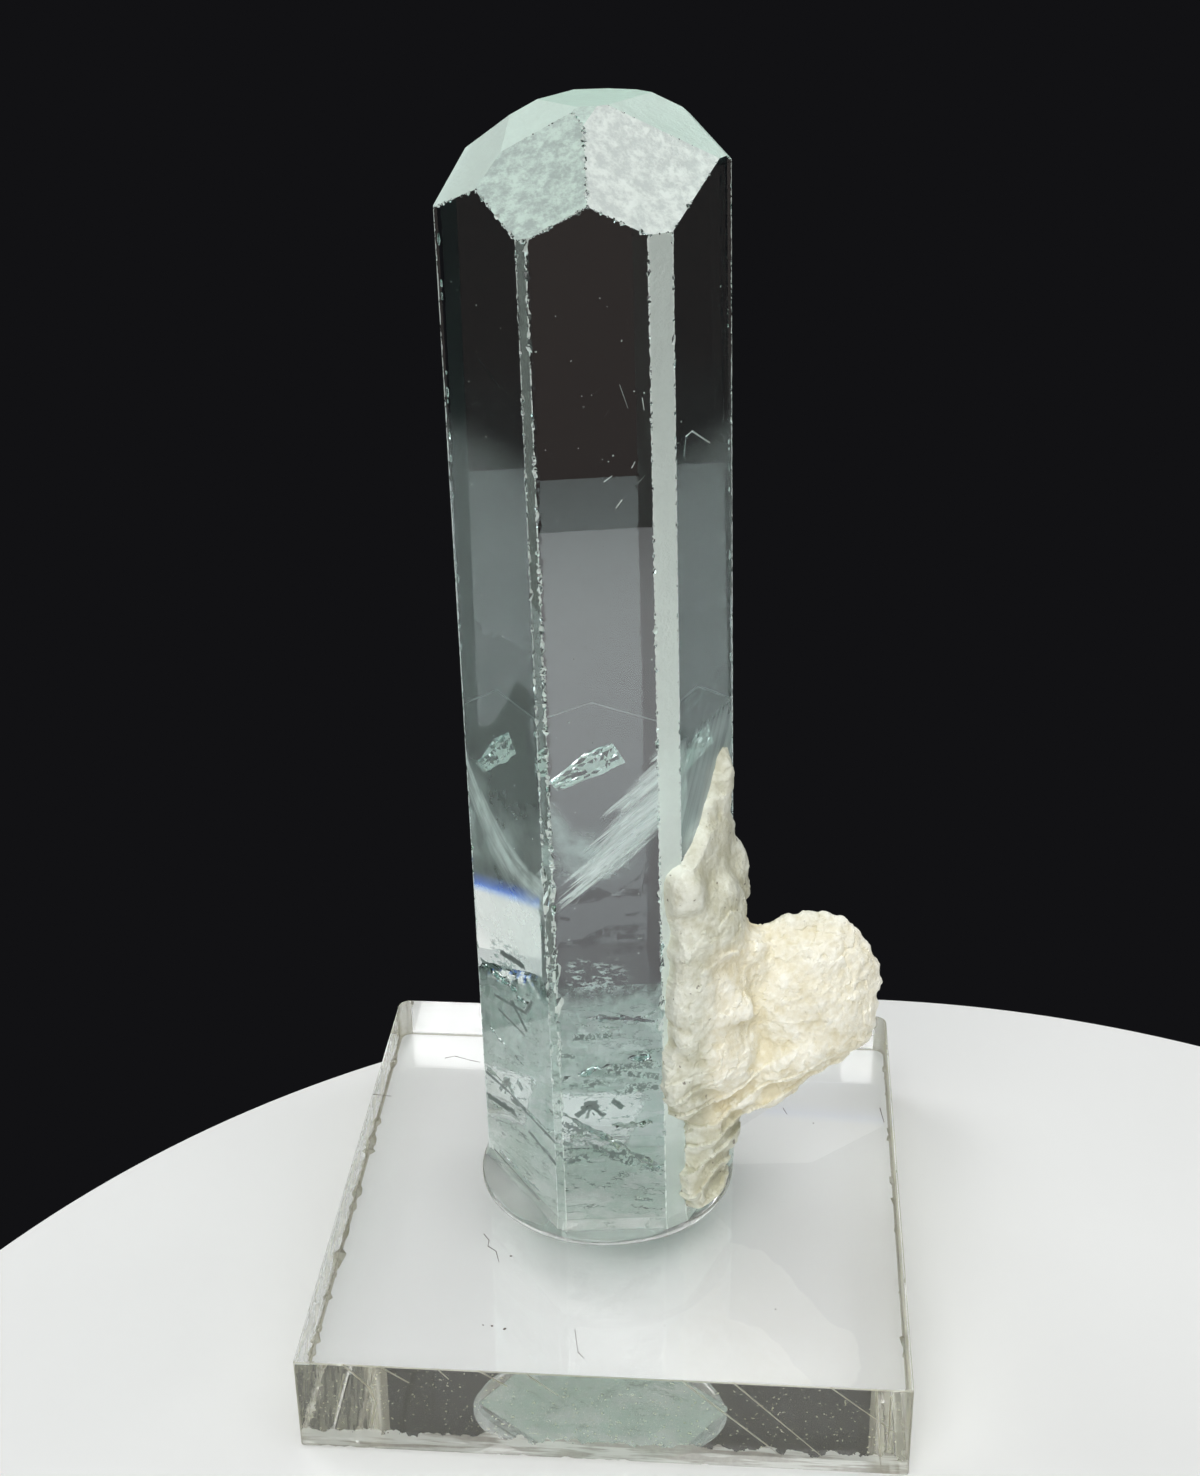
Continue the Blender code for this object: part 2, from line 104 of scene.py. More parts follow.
class Finish:
    # a material and its node tree
    def __init__(self, name):
        self.material = bpy.data.materials.new(name)
        self.material.use_nodes = True
        self.tree = self.material.node_tree
        self.tree.nodes.clear()
        self.end = self.make("ShaderNodeOutputMaterial")

    def feed(self, socket, value):
        if isinstance(value, Wire):
            self.tree.links.new(value.socket, socket)
        else:
            socket.default_value = value

    def make(self, kind, settings=None, inputs=None):
        # a node, its settings first and then the values or links of its sockets
        made = self.tree.nodes.new(kind)
        for name, value in (settings or {}).items():
            if name == "stops":
                self.setStops(made.color_ramp, value)
            else:
                setattr(made, name, value)
        for name, value in (inputs or {}).items():
            self.feed(made.inputs[name], value)
        return made

    def node(self, kind, settings=None, inputs=None, output=0):
        return Wire(self, self.make(kind, settings, inputs).outputs[output])

    def setStops(self, ramp, stops):
        while len(ramp.elements) < len(stops):
            ramp.elements.new(0.5)
        for element, (position, colour) in zip(ramp.elements, stops):
            element.position = position
            element.color = (*colour, 1.0)

    def place(self):
        # world position: every piece sits at the origin with its place in its mesh
        return self.node("ShaderNodeTexCoord", output="Object")

    def along(self, place, direction):
        return self.node("ShaderNodeVectorMath", {"operation": "DOT_PRODUCT"},
                         {0: place, 1: direction}, "Value")

    def parts(self, place):
        split = self.make("ShaderNodeSeparateXYZ", None, {0: place})
        return [Wire(self, output) for output in split.outputs]

    def join(self, x, y, z):
        return self.node("ShaderNodeCombineXYZ", None, {0: x, 1: y, 2: z})

    def attribute(self, name):
        return self.node("ShaderNodeAttribute", {"attribute_name": name}, None, "Fac")

    def noise(self, place, scale, detail, roughness):
        return self.node("ShaderNodeTexNoise", None,
                         {"Vector": place, "Scale": scale, "Detail": detail,
                          "Roughness": roughness}, "Fac")

    def grain(self, place, kind):
        # noise spread between two levels; kind is scale, detail, roughness, low and high level
        scale, detail, roughness, low, high = kind
        return self.noise(place, scale, detail, roughness).fade(low, high)

    def clear(self, refraction, roughness=0.0):
        return self.shader(Base_Color=(1, 1, 1, 1), Roughness=roughness, IOR=refraction,
                           Transmission_Weight=1.0)

    def translucent(self, colour):
        return self.node("ShaderNodeBsdfTranslucent", None, {"Color": colour})

    def bump(self, strength, distance, height):
        return self.node("ShaderNodeBump", None,
                         {"Strength": strength, "Distance": distance, "Height": height})

    def blend(self, factor, first, second):
        return self.node("ShaderNodeMix", {"data_type": "RGBA"},
                         {"Factor": factor, 6: first, 7: second}, 2)

    def shader(self, **sockets):
        names = {name.replace("_", " "): value for name, value in sockets.items()}
        return self.node("ShaderNodeBsdfPrincipled", None, names)

    def mixShaders(self, factor, first, second):
        return self.node("ShaderNodeMixShader", None, {0: factor, 1: first, 2: second})

    def surface(self, shader):
        self.feed(self.end.inputs["Surface"], shader)

    def absorb(self, colour, density):
        volume = self.node("ShaderNodeVolumeAbsorption", None,
                           {"Color": (*colour, 1.0), "Density": density})
        self.feed(self.end.inputs["Volume"], volume)


def limited(share):
    return min(1.0, max(0.0, share))


def pieceFrom(name, bm, finish):
    mesh = bpy.data.meshes.new(name)
    bm.to_mesh(mesh)
    bm.free()
    if finish:
        mesh.materials.append(finish.material)
    made = bpy.data.objects.new(name, mesh)
    bpy.context.scene.collection.objects.link(made)
    return made


def settle(piece):
    # the evaluated mesh takes the place of the modifiers
    graph = bpy.context.evaluated_depsgraph_get()
    mesh = bpy.data.meshes.new_from_object(piece.evaluated_get(graph), depsgraph=graph)
    piece.modifiers.clear()
    old = piece.data
    piece.data = mesh
    bpy.data.meshes.remove(old)


def cutAway(piece, cutter, selfCrossing=False):
    modifier = piece.modifiers.new("cut", "BOOLEAN")
    modifier.operation = "DIFFERENCE"
    modifier.object = cutter
    modifier.use_self = selfCrossing
    settle(piece)
    bpy.data.objects.remove(cutter, do_unlink=True)


def addBall(bm, centre, radii, turn, rng, ruggedness=0.0, subdivisions=1):
    made = bmesh.ops.create_icosphere(bm, subdivisions=subdivisions, radius=1.0)
    spin = Euler(turn).to_matrix()
    for vert in made["verts"]:
        grown = vert.co * (1.0 + ruggedness * rng.uniform(-1.0, 1.0))
        vert.co = centre + spin @ Vector(a * b for a, b in zip(grown, radii))


def chipRadius(smallest, largest, rng, rarity=2.0):
    # between two radii in mm; small chips are the usual ones
    return (smallest + (largest - smallest) * rng.random() ** rarity) * mm


def addRod(bm, start, end, radius):
    # a thin six-sided needle between two points
    run = end - start
    turning = run.to_track_quat("Z", "Y").to_matrix().to_4x4()
    place = Matrix.Translation((start + end) / 2) @ turning
    bmesh.ops.create_cone(bm, cap_ends=True, segments=6, radius1=radius, radius2=radius * 0.6,
                          depth=run.length + radius, matrix=place)


def addRods(bm, points, radius):
    for start, end in zip(points[:-1], points[1:]):
        addRod(bm, start, end, radius)


crystalValues = {
    "footPoint": Vector((-0.8 * mm, 1.2 * mm, 6.35 * mm)),
    "lean": Vector((-0.0176, 0.0353, 1.0)),
    "frontAzimuth": -83.5,
    # distance from the axis of the six wide upright faces and of the four bevels, by their turn
    "uprights": {0: 7.25 * mm, 60: 7.03 * mm, 120: 6.82 * mm, 180: 7.0 * mm, 240: 7.24 * mm, 300: 6.55 * mm,
                 30: 7.82 * mm, -30: 7.8 * mm, 90: 7.85 * mm, -90: 7.88 * mm},
    # end faces: turn, slope and the height at which they cross the axis
    "ends": [
        (-30, 44.93, 67.9 * mm), (30, 44.93, 68.0 * mm), (-78, 46.2, 68.48 * mm),
        (90, 44.93, 70.5 * mm), (-150, 44.93, 70.6 * mm), (150, 44.93, 70.75 * mm),
        (0, 29.94, 66.98 * mm), (60, 29.94, 67.0 * mm), (120, 29.94, 68.5 * mm),
        (180, 29.94, 68.55 * mm), (240, 29.94, 67.25 * mm), (300, 29.94, 66.5 * mm),
        (0, 0.0, 65.8 * mm),
    ],
    "footOverlap": 0.03 * mm,
    "blank": (30.0 * mm, 30.0 * mm, 160.0 * mm),
    "refraction": 1.577,
    "tint": (0.8, 0.933, 0.92),
    "tintDensity": 50.0,
    # frost, paleness and mottling of each worn face, by its turn and slope, and of the other end faces; the
    # paleness is partly the frost's own pale colour and partly painted light, raised on faces that the lamps
    # leave too dim
    "worn": {
        (-30, 44.93): (0.85, 0.4, 1.0), (30, 44.93): (0.97, 0.95, 0.75), (-78, 46.2): (0.94, 0.6, 0.1),
        (90, 44.93): (0.9, 0.3, 0.1), (0, 29.94): (0.85, 0.35, 0.8), (60, 29.94): (0.9, 0.5, 0.1),
        (240, 29.94): (0.9, 0.4, 0.1), (300, 29.94): (0.94, 0.5, 0.1), (0, 0.0): (0.92, 0.2, 0.1),
        (30, 90.0): (0.98, 0.8, 0.1), (-30, 90.0): (0.26, 0.4, 0.6), (90, 90.0): (0.6, 0.5, 0.6),
        (-90, 90.0): (0.7, 0.7, 0.6),
    },
    "wornEnd": (0.9, 0.2, 0.1),
    # chips: the share of their faces that is frosted, and their two kinds of face
    "chipShare": 0.55,
    "chipFrost": (0.85, 0.95, 0.4),
    "chipClear": (0.12, 0.5, 0.6),
    "crackFrost": (0.05, 0.6, 0.0),
    "hackleFrost": (0.2, 0.5, 0.3),
    # the crumpled bite: its two kinds of face, how far it reaches and where its plain lower part starts
    "biteFrosted": (0.94, 0.95, 0.1),
    "biteClear": (0.10, 0.4, 0.2),
    "biteReach": 3.4 * mm,
    "biteLow": -0.5 * mm,
    # distances from the axis beyond which a face belongs to the bite or to the broken lower part
    "biteFrom": 6.0 * mm,
    "hackleFrom": 5.4 * mm,
    "hackleTop": 14.0 * mm,
    # the pale bevel beside the feldspar grows clearer downwards and a little dimmer upwards
    "clearBevel": (9.0 * mm, 21.0 * mm),
    "clearShare": 0.55,
    "dimBevel": (44.0 * mm, 62.0 * mm),
    "dimShare": 0.2,
    # edges worn to a white line: the turns of their two faces, and the depth of the wear in mm
    "wornEdges": [
        (300, -90, 0.07), (-90, 240, 0.05), (60, 90, 0.06), (90, 120, 0.06),
        (0, -30, 0.022), (-30, 300, 0.018), (0, 30, 0.03), (30, 60, 0.035),
    ],
    "edgeGrain": (2300.0, 3.0, 0.65, 0.36, 0.60),
    # colours of the worn surface, from tinted to pale, where it is mottled, and the painted shade that
    # darkens its cracks
    "mint": (0.68, 0.93, 0.80, 1),
    "pale": (0.88, 0.95, 0.90, 1),
    "mottled": (0.30, 0.35, 0.35, 1),
    "veil": (0.90, 0.98, 0.96, 1),
    "cloudPale": (0.97, 1.0, 0.99, 1),
    "cloudDeep": (0.72, 0.84, 0.78, 1),
    "crackShade": (0.08, 0.11, 0.10, 1),
    # edge between two upright faces: turns, chips, then radii and the span of heights in mm
    "edgeChips": [
        (0, -30, 210, 0.06, 0.22, (8.0, 61.0)),
        (0, -30, 90, 0.08, 0.26, (21.0, 44.0)),
        (-30, 300, 170, 0.06, 0.2, (8.0, 60.0)),
        (0, 30, 150, 0.05, 0.18, (6.0, 61.0)),
        (30, 60, 90, 0.05, 0.17, (20.0, 61.0)),
        (60, 90, 90, 0.08, 0.22, (26.0, 62.0)),
        (90, 120, 80, 0.08, 0.24, (20.0, 62.0)),
        (300, -90, 110, 0.08, 0.22, (2.0, 62.0)),
        (-90, 240, 80, 0.08, 0.24, (2.0, 62.0)),
        (120, 180, 25, 0.12, 0.3, (3.0, 60.0)),
        (180, 240, 25, 0.12, 0.3, (3.0, 60.0)),
    ],
    # how far out the chips sit and how rugged they are, in radii, and the widths and length of each
    "chipBite": 0.3,
    "chipRuggedness": 0.26,
    "chipShape": ((0.7, 1.2), (0.7, 1.2), (0.8, 2.2)),
    "bigChipBite": 0.5,
    "bigChipRuggedness": 0.34,
    "endChipBite": 0.25,
    "endChipRuggedness": 0.16,
    "endChipShape": (0.7, 1.5),
    "bigChips": [
        # turns, height up the axis and radius in mm
        (0, -30, 17.5, 0.5), (0, -30, 15.8, 0.6), (-30, 300, 16.8, 0.55),
        (-30, 300, 14.6, 0.45), (0, -30, 12.9, 0.5), (0, -30, 59.6, 0.35),
        (0, 30, 17.2, 0.5), (0, 30, 19.6, 0.45), (0, 30, 14.8, 0.6),
        (0, 30, 22.8, 0.35), (30, 60, 54.8, 0.22), (60, 90, 49.0, 0.3),
        (0, -30, 19.6, 0.34), (0, -30, 20.9, 0.28), (0, -30, 14.2, 0.4),
        (-30, 300, 22.4, 0.5), (-30, 300, 24.2, 0.4), (0, -30, 23.4, 0.42),
        (-30, 300, 18.6, 0.42), (-30, 300, 20.3, 0.34), (0, 30, 18.3, 0.36),
        (0, 30, 21.3, 0.3), (0, 30, 15.9, 0.42), (-30, 300, 12.8, 0.36),
    ],
    # ragged edges of the end: turn and slope of both faces, chips and their radii in mm
    "endChips": [
        ((-30, 44.93), (30, 44.93), 34, 0.06, 0.2),
        ((-30, 44.93), (0, 90.0), 26, 0.06, 0.18),
        ((30, 44.93), (0, 90.0), 22, 0.05, 0.16),
        ((30, 44.93), (30, 90.0), 6, 0.06, 0.14),
        ((30, 44.93), (60, 90.0), 12, 0.05, 0.14),
        ((-30, 44.93), (-30, 90.0), 8, 0.06, 0.16),
        ((-30, 44.93), (300, 90.0), 18, 0.06, 0.2),
        ((-78, 46.2), (300, 90.0), 22, 0.06, 0.22),
        ((300, 29.94), (-30, 44.93), 14, 0.04, 0.1),
        ((60, 29.94), (30, 44.93), 14, 0.04, 0.1),
        ((0, 29.94), (-30, 44.93), 8, 0.05, 0.12),
        ((90, 44.93), (60, 90.0), 8, 0.05, 0.12),
    ],
    # specks: count and radii in mm, the faces they pick from, reach across and heights
    "specks": (150, 0.025, 0.07),
    "speckFaces": (0, 0, 300, 60, 300),
    "speckReach": 3.6 * mm,
    "speckHeights": (12.0 * mm, 58.0 * mm),
    # scratches: radius, then the line's world points, in mm
    "scratches": [
        (0.055, [(3.79, -2.2, 54.92), (3.88, -1.92, 55.93), (4.17, -1.25, 55.99), (5.07, 0.72, 54.69)]),
        (0.03, [(0.58, -3.97, 59.28), (0.98, -3.97, 58.07)]),
        (0.035, [(1.7, -3.87, 58.57), (1.8, -3.88, 57.94)]),
        (0.03, [(-0.28, -4.26, 54.15), (0.13, -4.2, 54.46)]),
        (0.035, [(1.17, -4.07, 54.87), (1.33, -4.04, 55.19)]),
        (0.03, [(1.48, -4.06, 54.05), (1.84, -4.01, 54.42)]),
        (0.03, [(0.64, -4.19, 53.15), (0.33, -4.24, 52.72)]),
    ],
    # a crumpled bite out of the back face, as world points in mm
    "backBite": [(-5.25, 8.71, 32.34), (-4.65, 8.8, 32.78), (-2.9, 9.05, 34.3), (-1.18, 9.27, 34.96),
                 (-0.36, 9.32, 33.57), (-1.73, 9.14, 32.96), (-4.67, 8.76, 31.73)],
    "backBiteDepth": 0.5 * mm,
    "backBiteRise": 0.3,
    # the bite's folds: their length and width, and the fine grain on them
    "foldSize": (1.6 * mm, 0.15 * mm),
    "foldGrain": 0.2 * mm,
    "biteRun": Vector((0.868, 0.12, 0.482)).normalized(),
    "biteSide": Vector((-0.482, 0.0, 0.868)).normalized(),
    # a dark splinter: x, z, tilt and radii of its chips in mm
    "splinter": [(-2.92, 9.4, 0.0, (0.3, 0.3, 0.28)), (-3.5, 9.15, -0.45, (0.55, 0.22, 0.09)),
                 (-2.35, 9.1, 0.5, (0.55, 0.22, 0.09)), (-3.1, 8.95, -1.0, (0.3, 0.2, 0.07)),
                 (-2.7, 8.95, 1.1, (0.3, 0.2, 0.07)), (-1.0, 9.6, 0.4, (0.35, 0.15, 0.05))],
    "splinterDepth": 8.3 * mm,
}

hackleValues = {
    # the broken part of the back face: heights up the axis, width in mm, deepest cut, cells each way
    "low": 4.3 * mm,
    "high": 12.6 * mm,
    "width": 9.4,
    "deepest": 1.0 * mm,
    "cells": 44,
    # sizes of its broad, ridged and fine relief
    "broad": 3.2 * mm,
    "ridge": 1.7 * mm,
    "fine": 0.6 * mm,
    # how it fades out at its lower and upper end, and how thick the slab behind it is
    "fadeLow": 1.5 * mm,
    "fadeHigh": 2.2 * mm,
    "lift": 0.12 * mm,
    "backing": 1.2 * mm,
}

crackValues = {
    "step": 0.2 * mm,
    "gap": 0.03 * mm,
    "margin": 0.1 * mm,
    "aboveFoot": 0.3 * mm,
    # sizes of the ripples, from broad to fine, and of the patches that are whole
    "ripples": (1.9 * mm, 0.8 * mm, 0.4 * mm),
    "patches": 1.5 * mm,
    # start and end in mm, inward direction, width, ripple, tilt in degrees, coverage
    "sheets": [
        ((-3.45, -6.09, 14.9), (2.5, -5.57, 10.54), (-0.089, 0.912, -0.40), 2.4, 0.35, 10, 0.62),
        ((-8.62, 0.83, 13.1), (-3.77, -5.73, 12.68), (0.384, 0.842, -0.379), 2.2, 0.25, 8, 0.6),
        ((-8.71, 0.93, 10.95), (-6.17, -2.49, 11.79), (0.382, 0.843, -0.38), 1.8, 0.2, -8, 0.6),
        ((-7.86, -0.26, 7.4), (-4.85, -4.33, 7.5), (0.389, 0.832, -0.30), 1.6, 0.2, 6, 0.6),
        ((-3.04, -5.81, 21.08), (2.38, -5.19, 21.23), (-0.089, 0.924, -0.371), 2.0, 0.3, 14, 0.42),
        ((-3.11, -5.96, 17.28), (2.67, -5.26, 18.46), (-0.088, 0.92, -0.383), 2.4, 0.4, 12, 0.5),
        ((-8.81, 1.18, 20.69), (-5.15, -3.76, 20.82), (0.375, 0.858, -0.35), 1.8, 0.3, 18, 0.5),
        ((-8.3, 0.4, 16.6), (-4.9, -4.1, 15.4), (0.384, 0.842, -0.379), 1.6, 0.3, 14, 0.5),
        ((-3.2, -3.5, 12.2), (2.6, -3.0, 13.6), (-0.089, 0.912, -0.40), 1.8, 0.35, -10, 0.5),
    ],
}


def faceNormal(turn, slope=90.0):
    azimuth = math.radians(crystalValues["frontAzimuth"] + turn)
    tilt = math.radians(slope)
    flat = math.sin(tilt)
    return Vector((flat * math.cos(azimuth), flat * math.sin(azimuth), math.cos(tilt)))


def crystalFrame():
    up = crystalValues["lean"].normalized()
    right = Vector((0.0, 1.0, 0.0)).cross(up).normalized()
    turned = Matrix((right, up.cross(right), up)).transposed().to_4x4()
    return Matrix.Translation(crystalValues["footPoint"]) @ turned


def crystalPlanes():
    # normal, distance from the axis foot and wear of every face, in world directions
    values = crystalValues
    turning = crystalFrame().to_3x3()
    planes = []
    for turn, distance in values["uprights"].items():
        worn = values["worn"].get((turn, 90.0), (0.0, 0.0, 0.0))
        planes.append((turning @ faceNormal(turn), distance, worn))
    for turn, slope, height in values["ends"]:
        distance = height * math.cos(math.radians(slope))
        worn = values["worn"].get((turn, slope), values["wornEnd"])
        planes.append((turning @ faceNormal(turn, slope), distance, worn))
    return planes


def outsideBy(point, planes):
    # how far a point is outside the crystal, and the face it is nearest to
    own = point - crystalValues["footPoint"]
    best = max(planes, key=lambda plane: plane[0].dot(own) - plane[1])
    return best[0].dot(own) - best[1], best[0]


def onFace(turn, across, height):
    own = faceNormal(turn) * crystalValues["uprights"][turn] + faceNormal(turn + 90) * across
    return crystalFrame() @ Vector((own.x, own.y, height))


def keepInside(bm, normal, distance):
    everything = bm.verts[:] + bm.edges[:] + bm.faces[:]
    bmesh.ops.bisect_plane(bm, geom=everything, plane_co=normal * distance,
                           plane_no=normal, clear_outer=True)
    rim = [edge for edge in bm.edges if edge.is_boundary]
    if rim:
        bmesh.ops.contextual_create(bm, geom=rim)


def crystalBody(footHeight, grow=0.0):
    values = crystalValues
    bm = bmesh.new()
    bmesh.ops.create_cube(bm, size=1.0)
    bmesh.ops.scale(bm, vec=values["blank"], verts=bm.verts)
    for turn, distance in values["uprights"].items():
        keepInside(bm, faceNormal(turn), distance + grow)
    for turn, slope, height in values["ends"]:
        keepInside(bm, faceNormal(turn, slope), height * math.cos(math.radians(slope)) + grow)
    bmesh.ops.transform(bm, matrix=crystalFrame(), verts=bm.verts)
    keepInside(bm, Vector((0.0, 0.0, -1.0)), -footHeight)
    bmesh.ops.recalc_face_normals(bm, faces=bm.faces)
    return bm


def edgePoint(turnA, turnB, height):
    reach = crystalValues["uprights"]
    first = faceNormal(turnA)
    second = faceNormal(turnB)
    both = Matrix(((first.x, first.y), (second.x, second.y)))
    across = both.inverted() @ Vector((reach[turnA], reach[turnB]))
    return Vector((across.x, across.y, height))


def addEdgeChips(bm, rng):
    values = crystalValues
    place = crystalFrame()
    for turnA, turnB, count, smallest, largest, span in values["edgeChips"]:
        outward = (faceNormal(turnA) + faceNormal(turnB)).normalized()
        for _ in range(count):
            height = rng.uniform(*span) * mm
            radius = chipRadius(smallest, largest, rng)
            centre = edgePoint(turnA, turnB, height) + outward * radius * values["chipBite"]
            radii = [radius * rng.uniform(*limits) for limits in values["chipShape"]]
            turn = (rng.uniform(-0.3, 0.3), rng.uniform(-0.3, 0.3), rng.uniform(0.0, math.tau))
            addBall(bm, place @ centre, radii, turn, rng, values["chipRuggedness"])
    for turnA, turnB, height, radius in values["bigChips"]:
        outward = (faceNormal(turnA) + faceNormal(turnB)).normalized()
        radius = radius * mm
        centre = edgePoint(turnA, turnB, height * mm) + outward * radius * values["bigChipBite"]
        radii = (radius * 0.8, radius * 0.7, radius * rng.uniform(1.4, 2.4))
        turn = (0.2, 0.1, rng.uniform(0, 3))
        addBall(bm, place @ centre, radii, turn, rng, values["bigChipRuggedness"], 2)


def addEndChips(bm, rng):
    # along the edges that two faces of the end share
    values = crystalValues
    body = crystalBody(values["footPoint"].z)
    turning = crystalFrame().to_3x3()
    for first, second, count, smallest, largest in values["endChips"]:
        normals = [turning @ faceNormal(*face) for face in (first, second)]
        for edge in body.edges:
            given = [face.normal for face in edge.link_faces]
            matched = all(max(normal.dot(own) for own in given) > 0.9999 for normal in normals)
            if matched:
                start, end = (vert.co.copy() for vert in edge.verts)
                outward = sum(normals, Vector()).normalized()
                for _ in range(count):
                    radius = chipRadius(smallest, largest, rng)
                    centre = start.lerp(end, rng.random()) + outward * radius * values["endChipBite"]
                    radii = [radius * rng.uniform(*values["endChipShape"]) for _ in range(3)]
                    turn = (rng.uniform(0.0, 3.0), 0.0, 0.0)
                    addBall(bm, centre, radii, turn, rng, values["endChipRuggedness"])
    body.free()


def addFaceMarks(bm, rng):
    values = crystalValues
    count, smallest, largest = values["specks"]
    reach = values["speckReach"]
    for _ in range(count):
        turn = rng.choice(values["speckFaces"])
        centre = onFace(turn, rng.uniform(-reach, reach), rng.uniform(*values["speckHeights"]))
        radius = chipRadius(smallest, largest, rng)
        addBall(bm, centre, (radius, radius, radius), (0, 0, 0), rng, 0.2)
    for width, line in values["scratches"]:
        addRods(bm, [Vector(point) * mm for point in line], width * mm)


def addSplinter(bm, rng):
    # a dark crumpled chip in the clear window of the back face
    for x, z, tilt, radii in crystalValues["splinter"]:
        centre = Vector((x * mm, crystalValues["splinterDepth"], z * mm))
        addBall(bm, centre, [radius * mm for radius in radii], (0.0, tilt, 0.0), rng, 0.3, 2)


def biteFold(point):
    # folds that run along the bite
    length, width = crystalValues["foldSize"]
    along = point.dot(crystalValues["biteRun"]) / length
    across = point.dot(crystalValues["biteSide"]) / width
    return noise.noise(Vector((along, across, 4.0)))


def addBackBite(bm):
    values = crystalValues
    inward = -(crystalFrame().to_3x3() @ faceNormal(180))
    ring = [Vector(point) * mm for point in values["backBite"]]
    centre = sum(ring, Vector()) / len(ring)
    rise = values["backBiteRise"]
    part = bmesh.new()
    outer = [part.verts.new(point - inward * rise * mm) for point in ring]
    cap = part.faces.new(outer)
    grown = bmesh.ops.extrude_face_region(part, geom=[cap])["geom"]
    inner = [item for item in grown if isinstance(item, bmesh.types.BMVert)]
    for vert in inner:
        vert.co += (centre - vert.co) * 0.12 + inward * (values["backBiteDepth"] * 0.6 + rise * mm)
    bmesh.ops.recalc_face_normals(part, faces=part.faces)
    bmesh.ops.triangulate(part, faces=part.faces)
    bmesh.ops.subdivide_edges(part, edges=part.edges, cuts=6, use_grid_fill=True)
    for vert in part.verts:
        if (vert.co - centre).dot(inward) > 0.1 * mm:
            crumple = 0.05 * mm * noise.noise_vector(vert.co / values["foldGrain"])
            vert.co += inward * rise * mm * biteFold(vert.co) + crumple
    mesh = bpy.data.meshes.new("bite")
    part.to_mesh(mesh)
    part.free()
    bm.from_mesh(mesh)
    bpy.data.meshes.remove(mesh)


def hackleCutter():
    # a slab with one broken face, laid into the back of the crystal
    values = hackleValues
    low, high, cells = values["low"], values["high"], values["cells"]
    bm = bmesh.new()
    reach = crystalValues["uprights"][180]
    out = faceNormal(180)
    side = faceNormal(270)
    place = crystalFrame()
    inner = []
    outer = []
    for row in range(cells + 1):
        height = low + (high - low) * row / cells
        for column in range(cells + 1):
            across = (column / cells - 0.5) * values["width"] * mm
            spot = Vector((across, height, 0.0))
            broad = noise.noise(spot / values["broad"])
            ridge = 1.0 - 2.0 * abs(noise.noise(spot / values["ridge"] + Vector((3, 1, 7))))
            fine = noise.noise(spot / values["fine"] + Vector((9, 2, 4)))
            fade = min(1.0, (height - low) / values["fadeLow"], (high - height) / values["fadeHigh"])
            depth = values["deepest"] * (0.35 + 0.55 * broad + 0.3 * ridge + 0.12 * fine) * fade
            depth -= values["lift"] * (1.0 - fade)
            for line, distance in ((inner, reach - depth), (outer, reach + values["backing"])):
                flat = out * distance + side * across
                line.append(bm.verts.new(place @ Vector((flat.x, flat.y, height))))
    width = cells + 1
    for row in range(cells):
        for column in range(cells):
            a = row * width + column
            bm.faces.new((inner[a], inner[a + 1], inner[a + 1 + width], inner[a + width]))
            bm.faces.new((outer[a], outer[a + width], outer[a + 1 + width], outer[a + 1]))
    bottom = list(range(width))
    top = [cells * width + index for index in range(width)]
    left = [row * width for row in range(cells + 1)]
    right = [row * width + cells for row in range(cells + 1)]
    for line in (bottom, top, left, right):
        for a, b in zip(line[:-1], line[1:]):
            bm.faces.new((inner[a], inner[b], outer[b], outer[a]))
    bmesh.ops.recalc_face_normals(bm, faces=bm.faces)
    return bm


def addCrack(bm, planes, sheet, seed):
    # a thin rippled gap inside the crystal; its faces look into the gap
    start, end, inward, width, ripple, tilt, coverage = sheet
    step = crackValues["step"]
    start = Vector(start) * mm
    end = Vector(end) * mm
    along = end - start
    inward = Matrix.Rotation(math.radians(tilt), 3, along.normalized()) @ Vector(inward).normalized()
    across = along.cross(inward).normalized()
    columns = int(along.length / step)
    rows = int(width * mm / step)
    offset = Vector((seed * 3.1, seed * 1.7, seed * 5.3))
    broad, middle, fine = crackValues["ripples"]
    lowest = crystalValues["footPoint"].z + crackValues["aboveFoot"]
    points = {}
    sound = {}
    for i in range(columns + 1):
        for j in range(rows + 1):
            flat = start + along * i / columns + inward * j * step
            wave = noise.noise(flat / broad + offset)
            wave += 0.6 * (1.0 - 2.0 * abs(noise.noise(flat / middle + offset)))
            wave += 0.4 * noise.noise(flat / fine + offset)
            point = flat + across * ripple * mm * wave
            points[i, j] = point
            out, _ = outsideBy(point, planes)
            cover = 0.5 + 0.5 * noise.noise(flat / crackValues["patches"] - offset)
            sound[i, j] = out < -crackValues["margin"] and point.z > lowest and cover < coverage
    cells = {(i, j) for i in range(columns) for j in range(rows)
             if sound[i, j] and sound[i + 1, j] and sound[i, j + 1] and sound[i + 1, j + 1]}
    addPocket(bm, cells, points, across * crackValues["gap"] / 2)


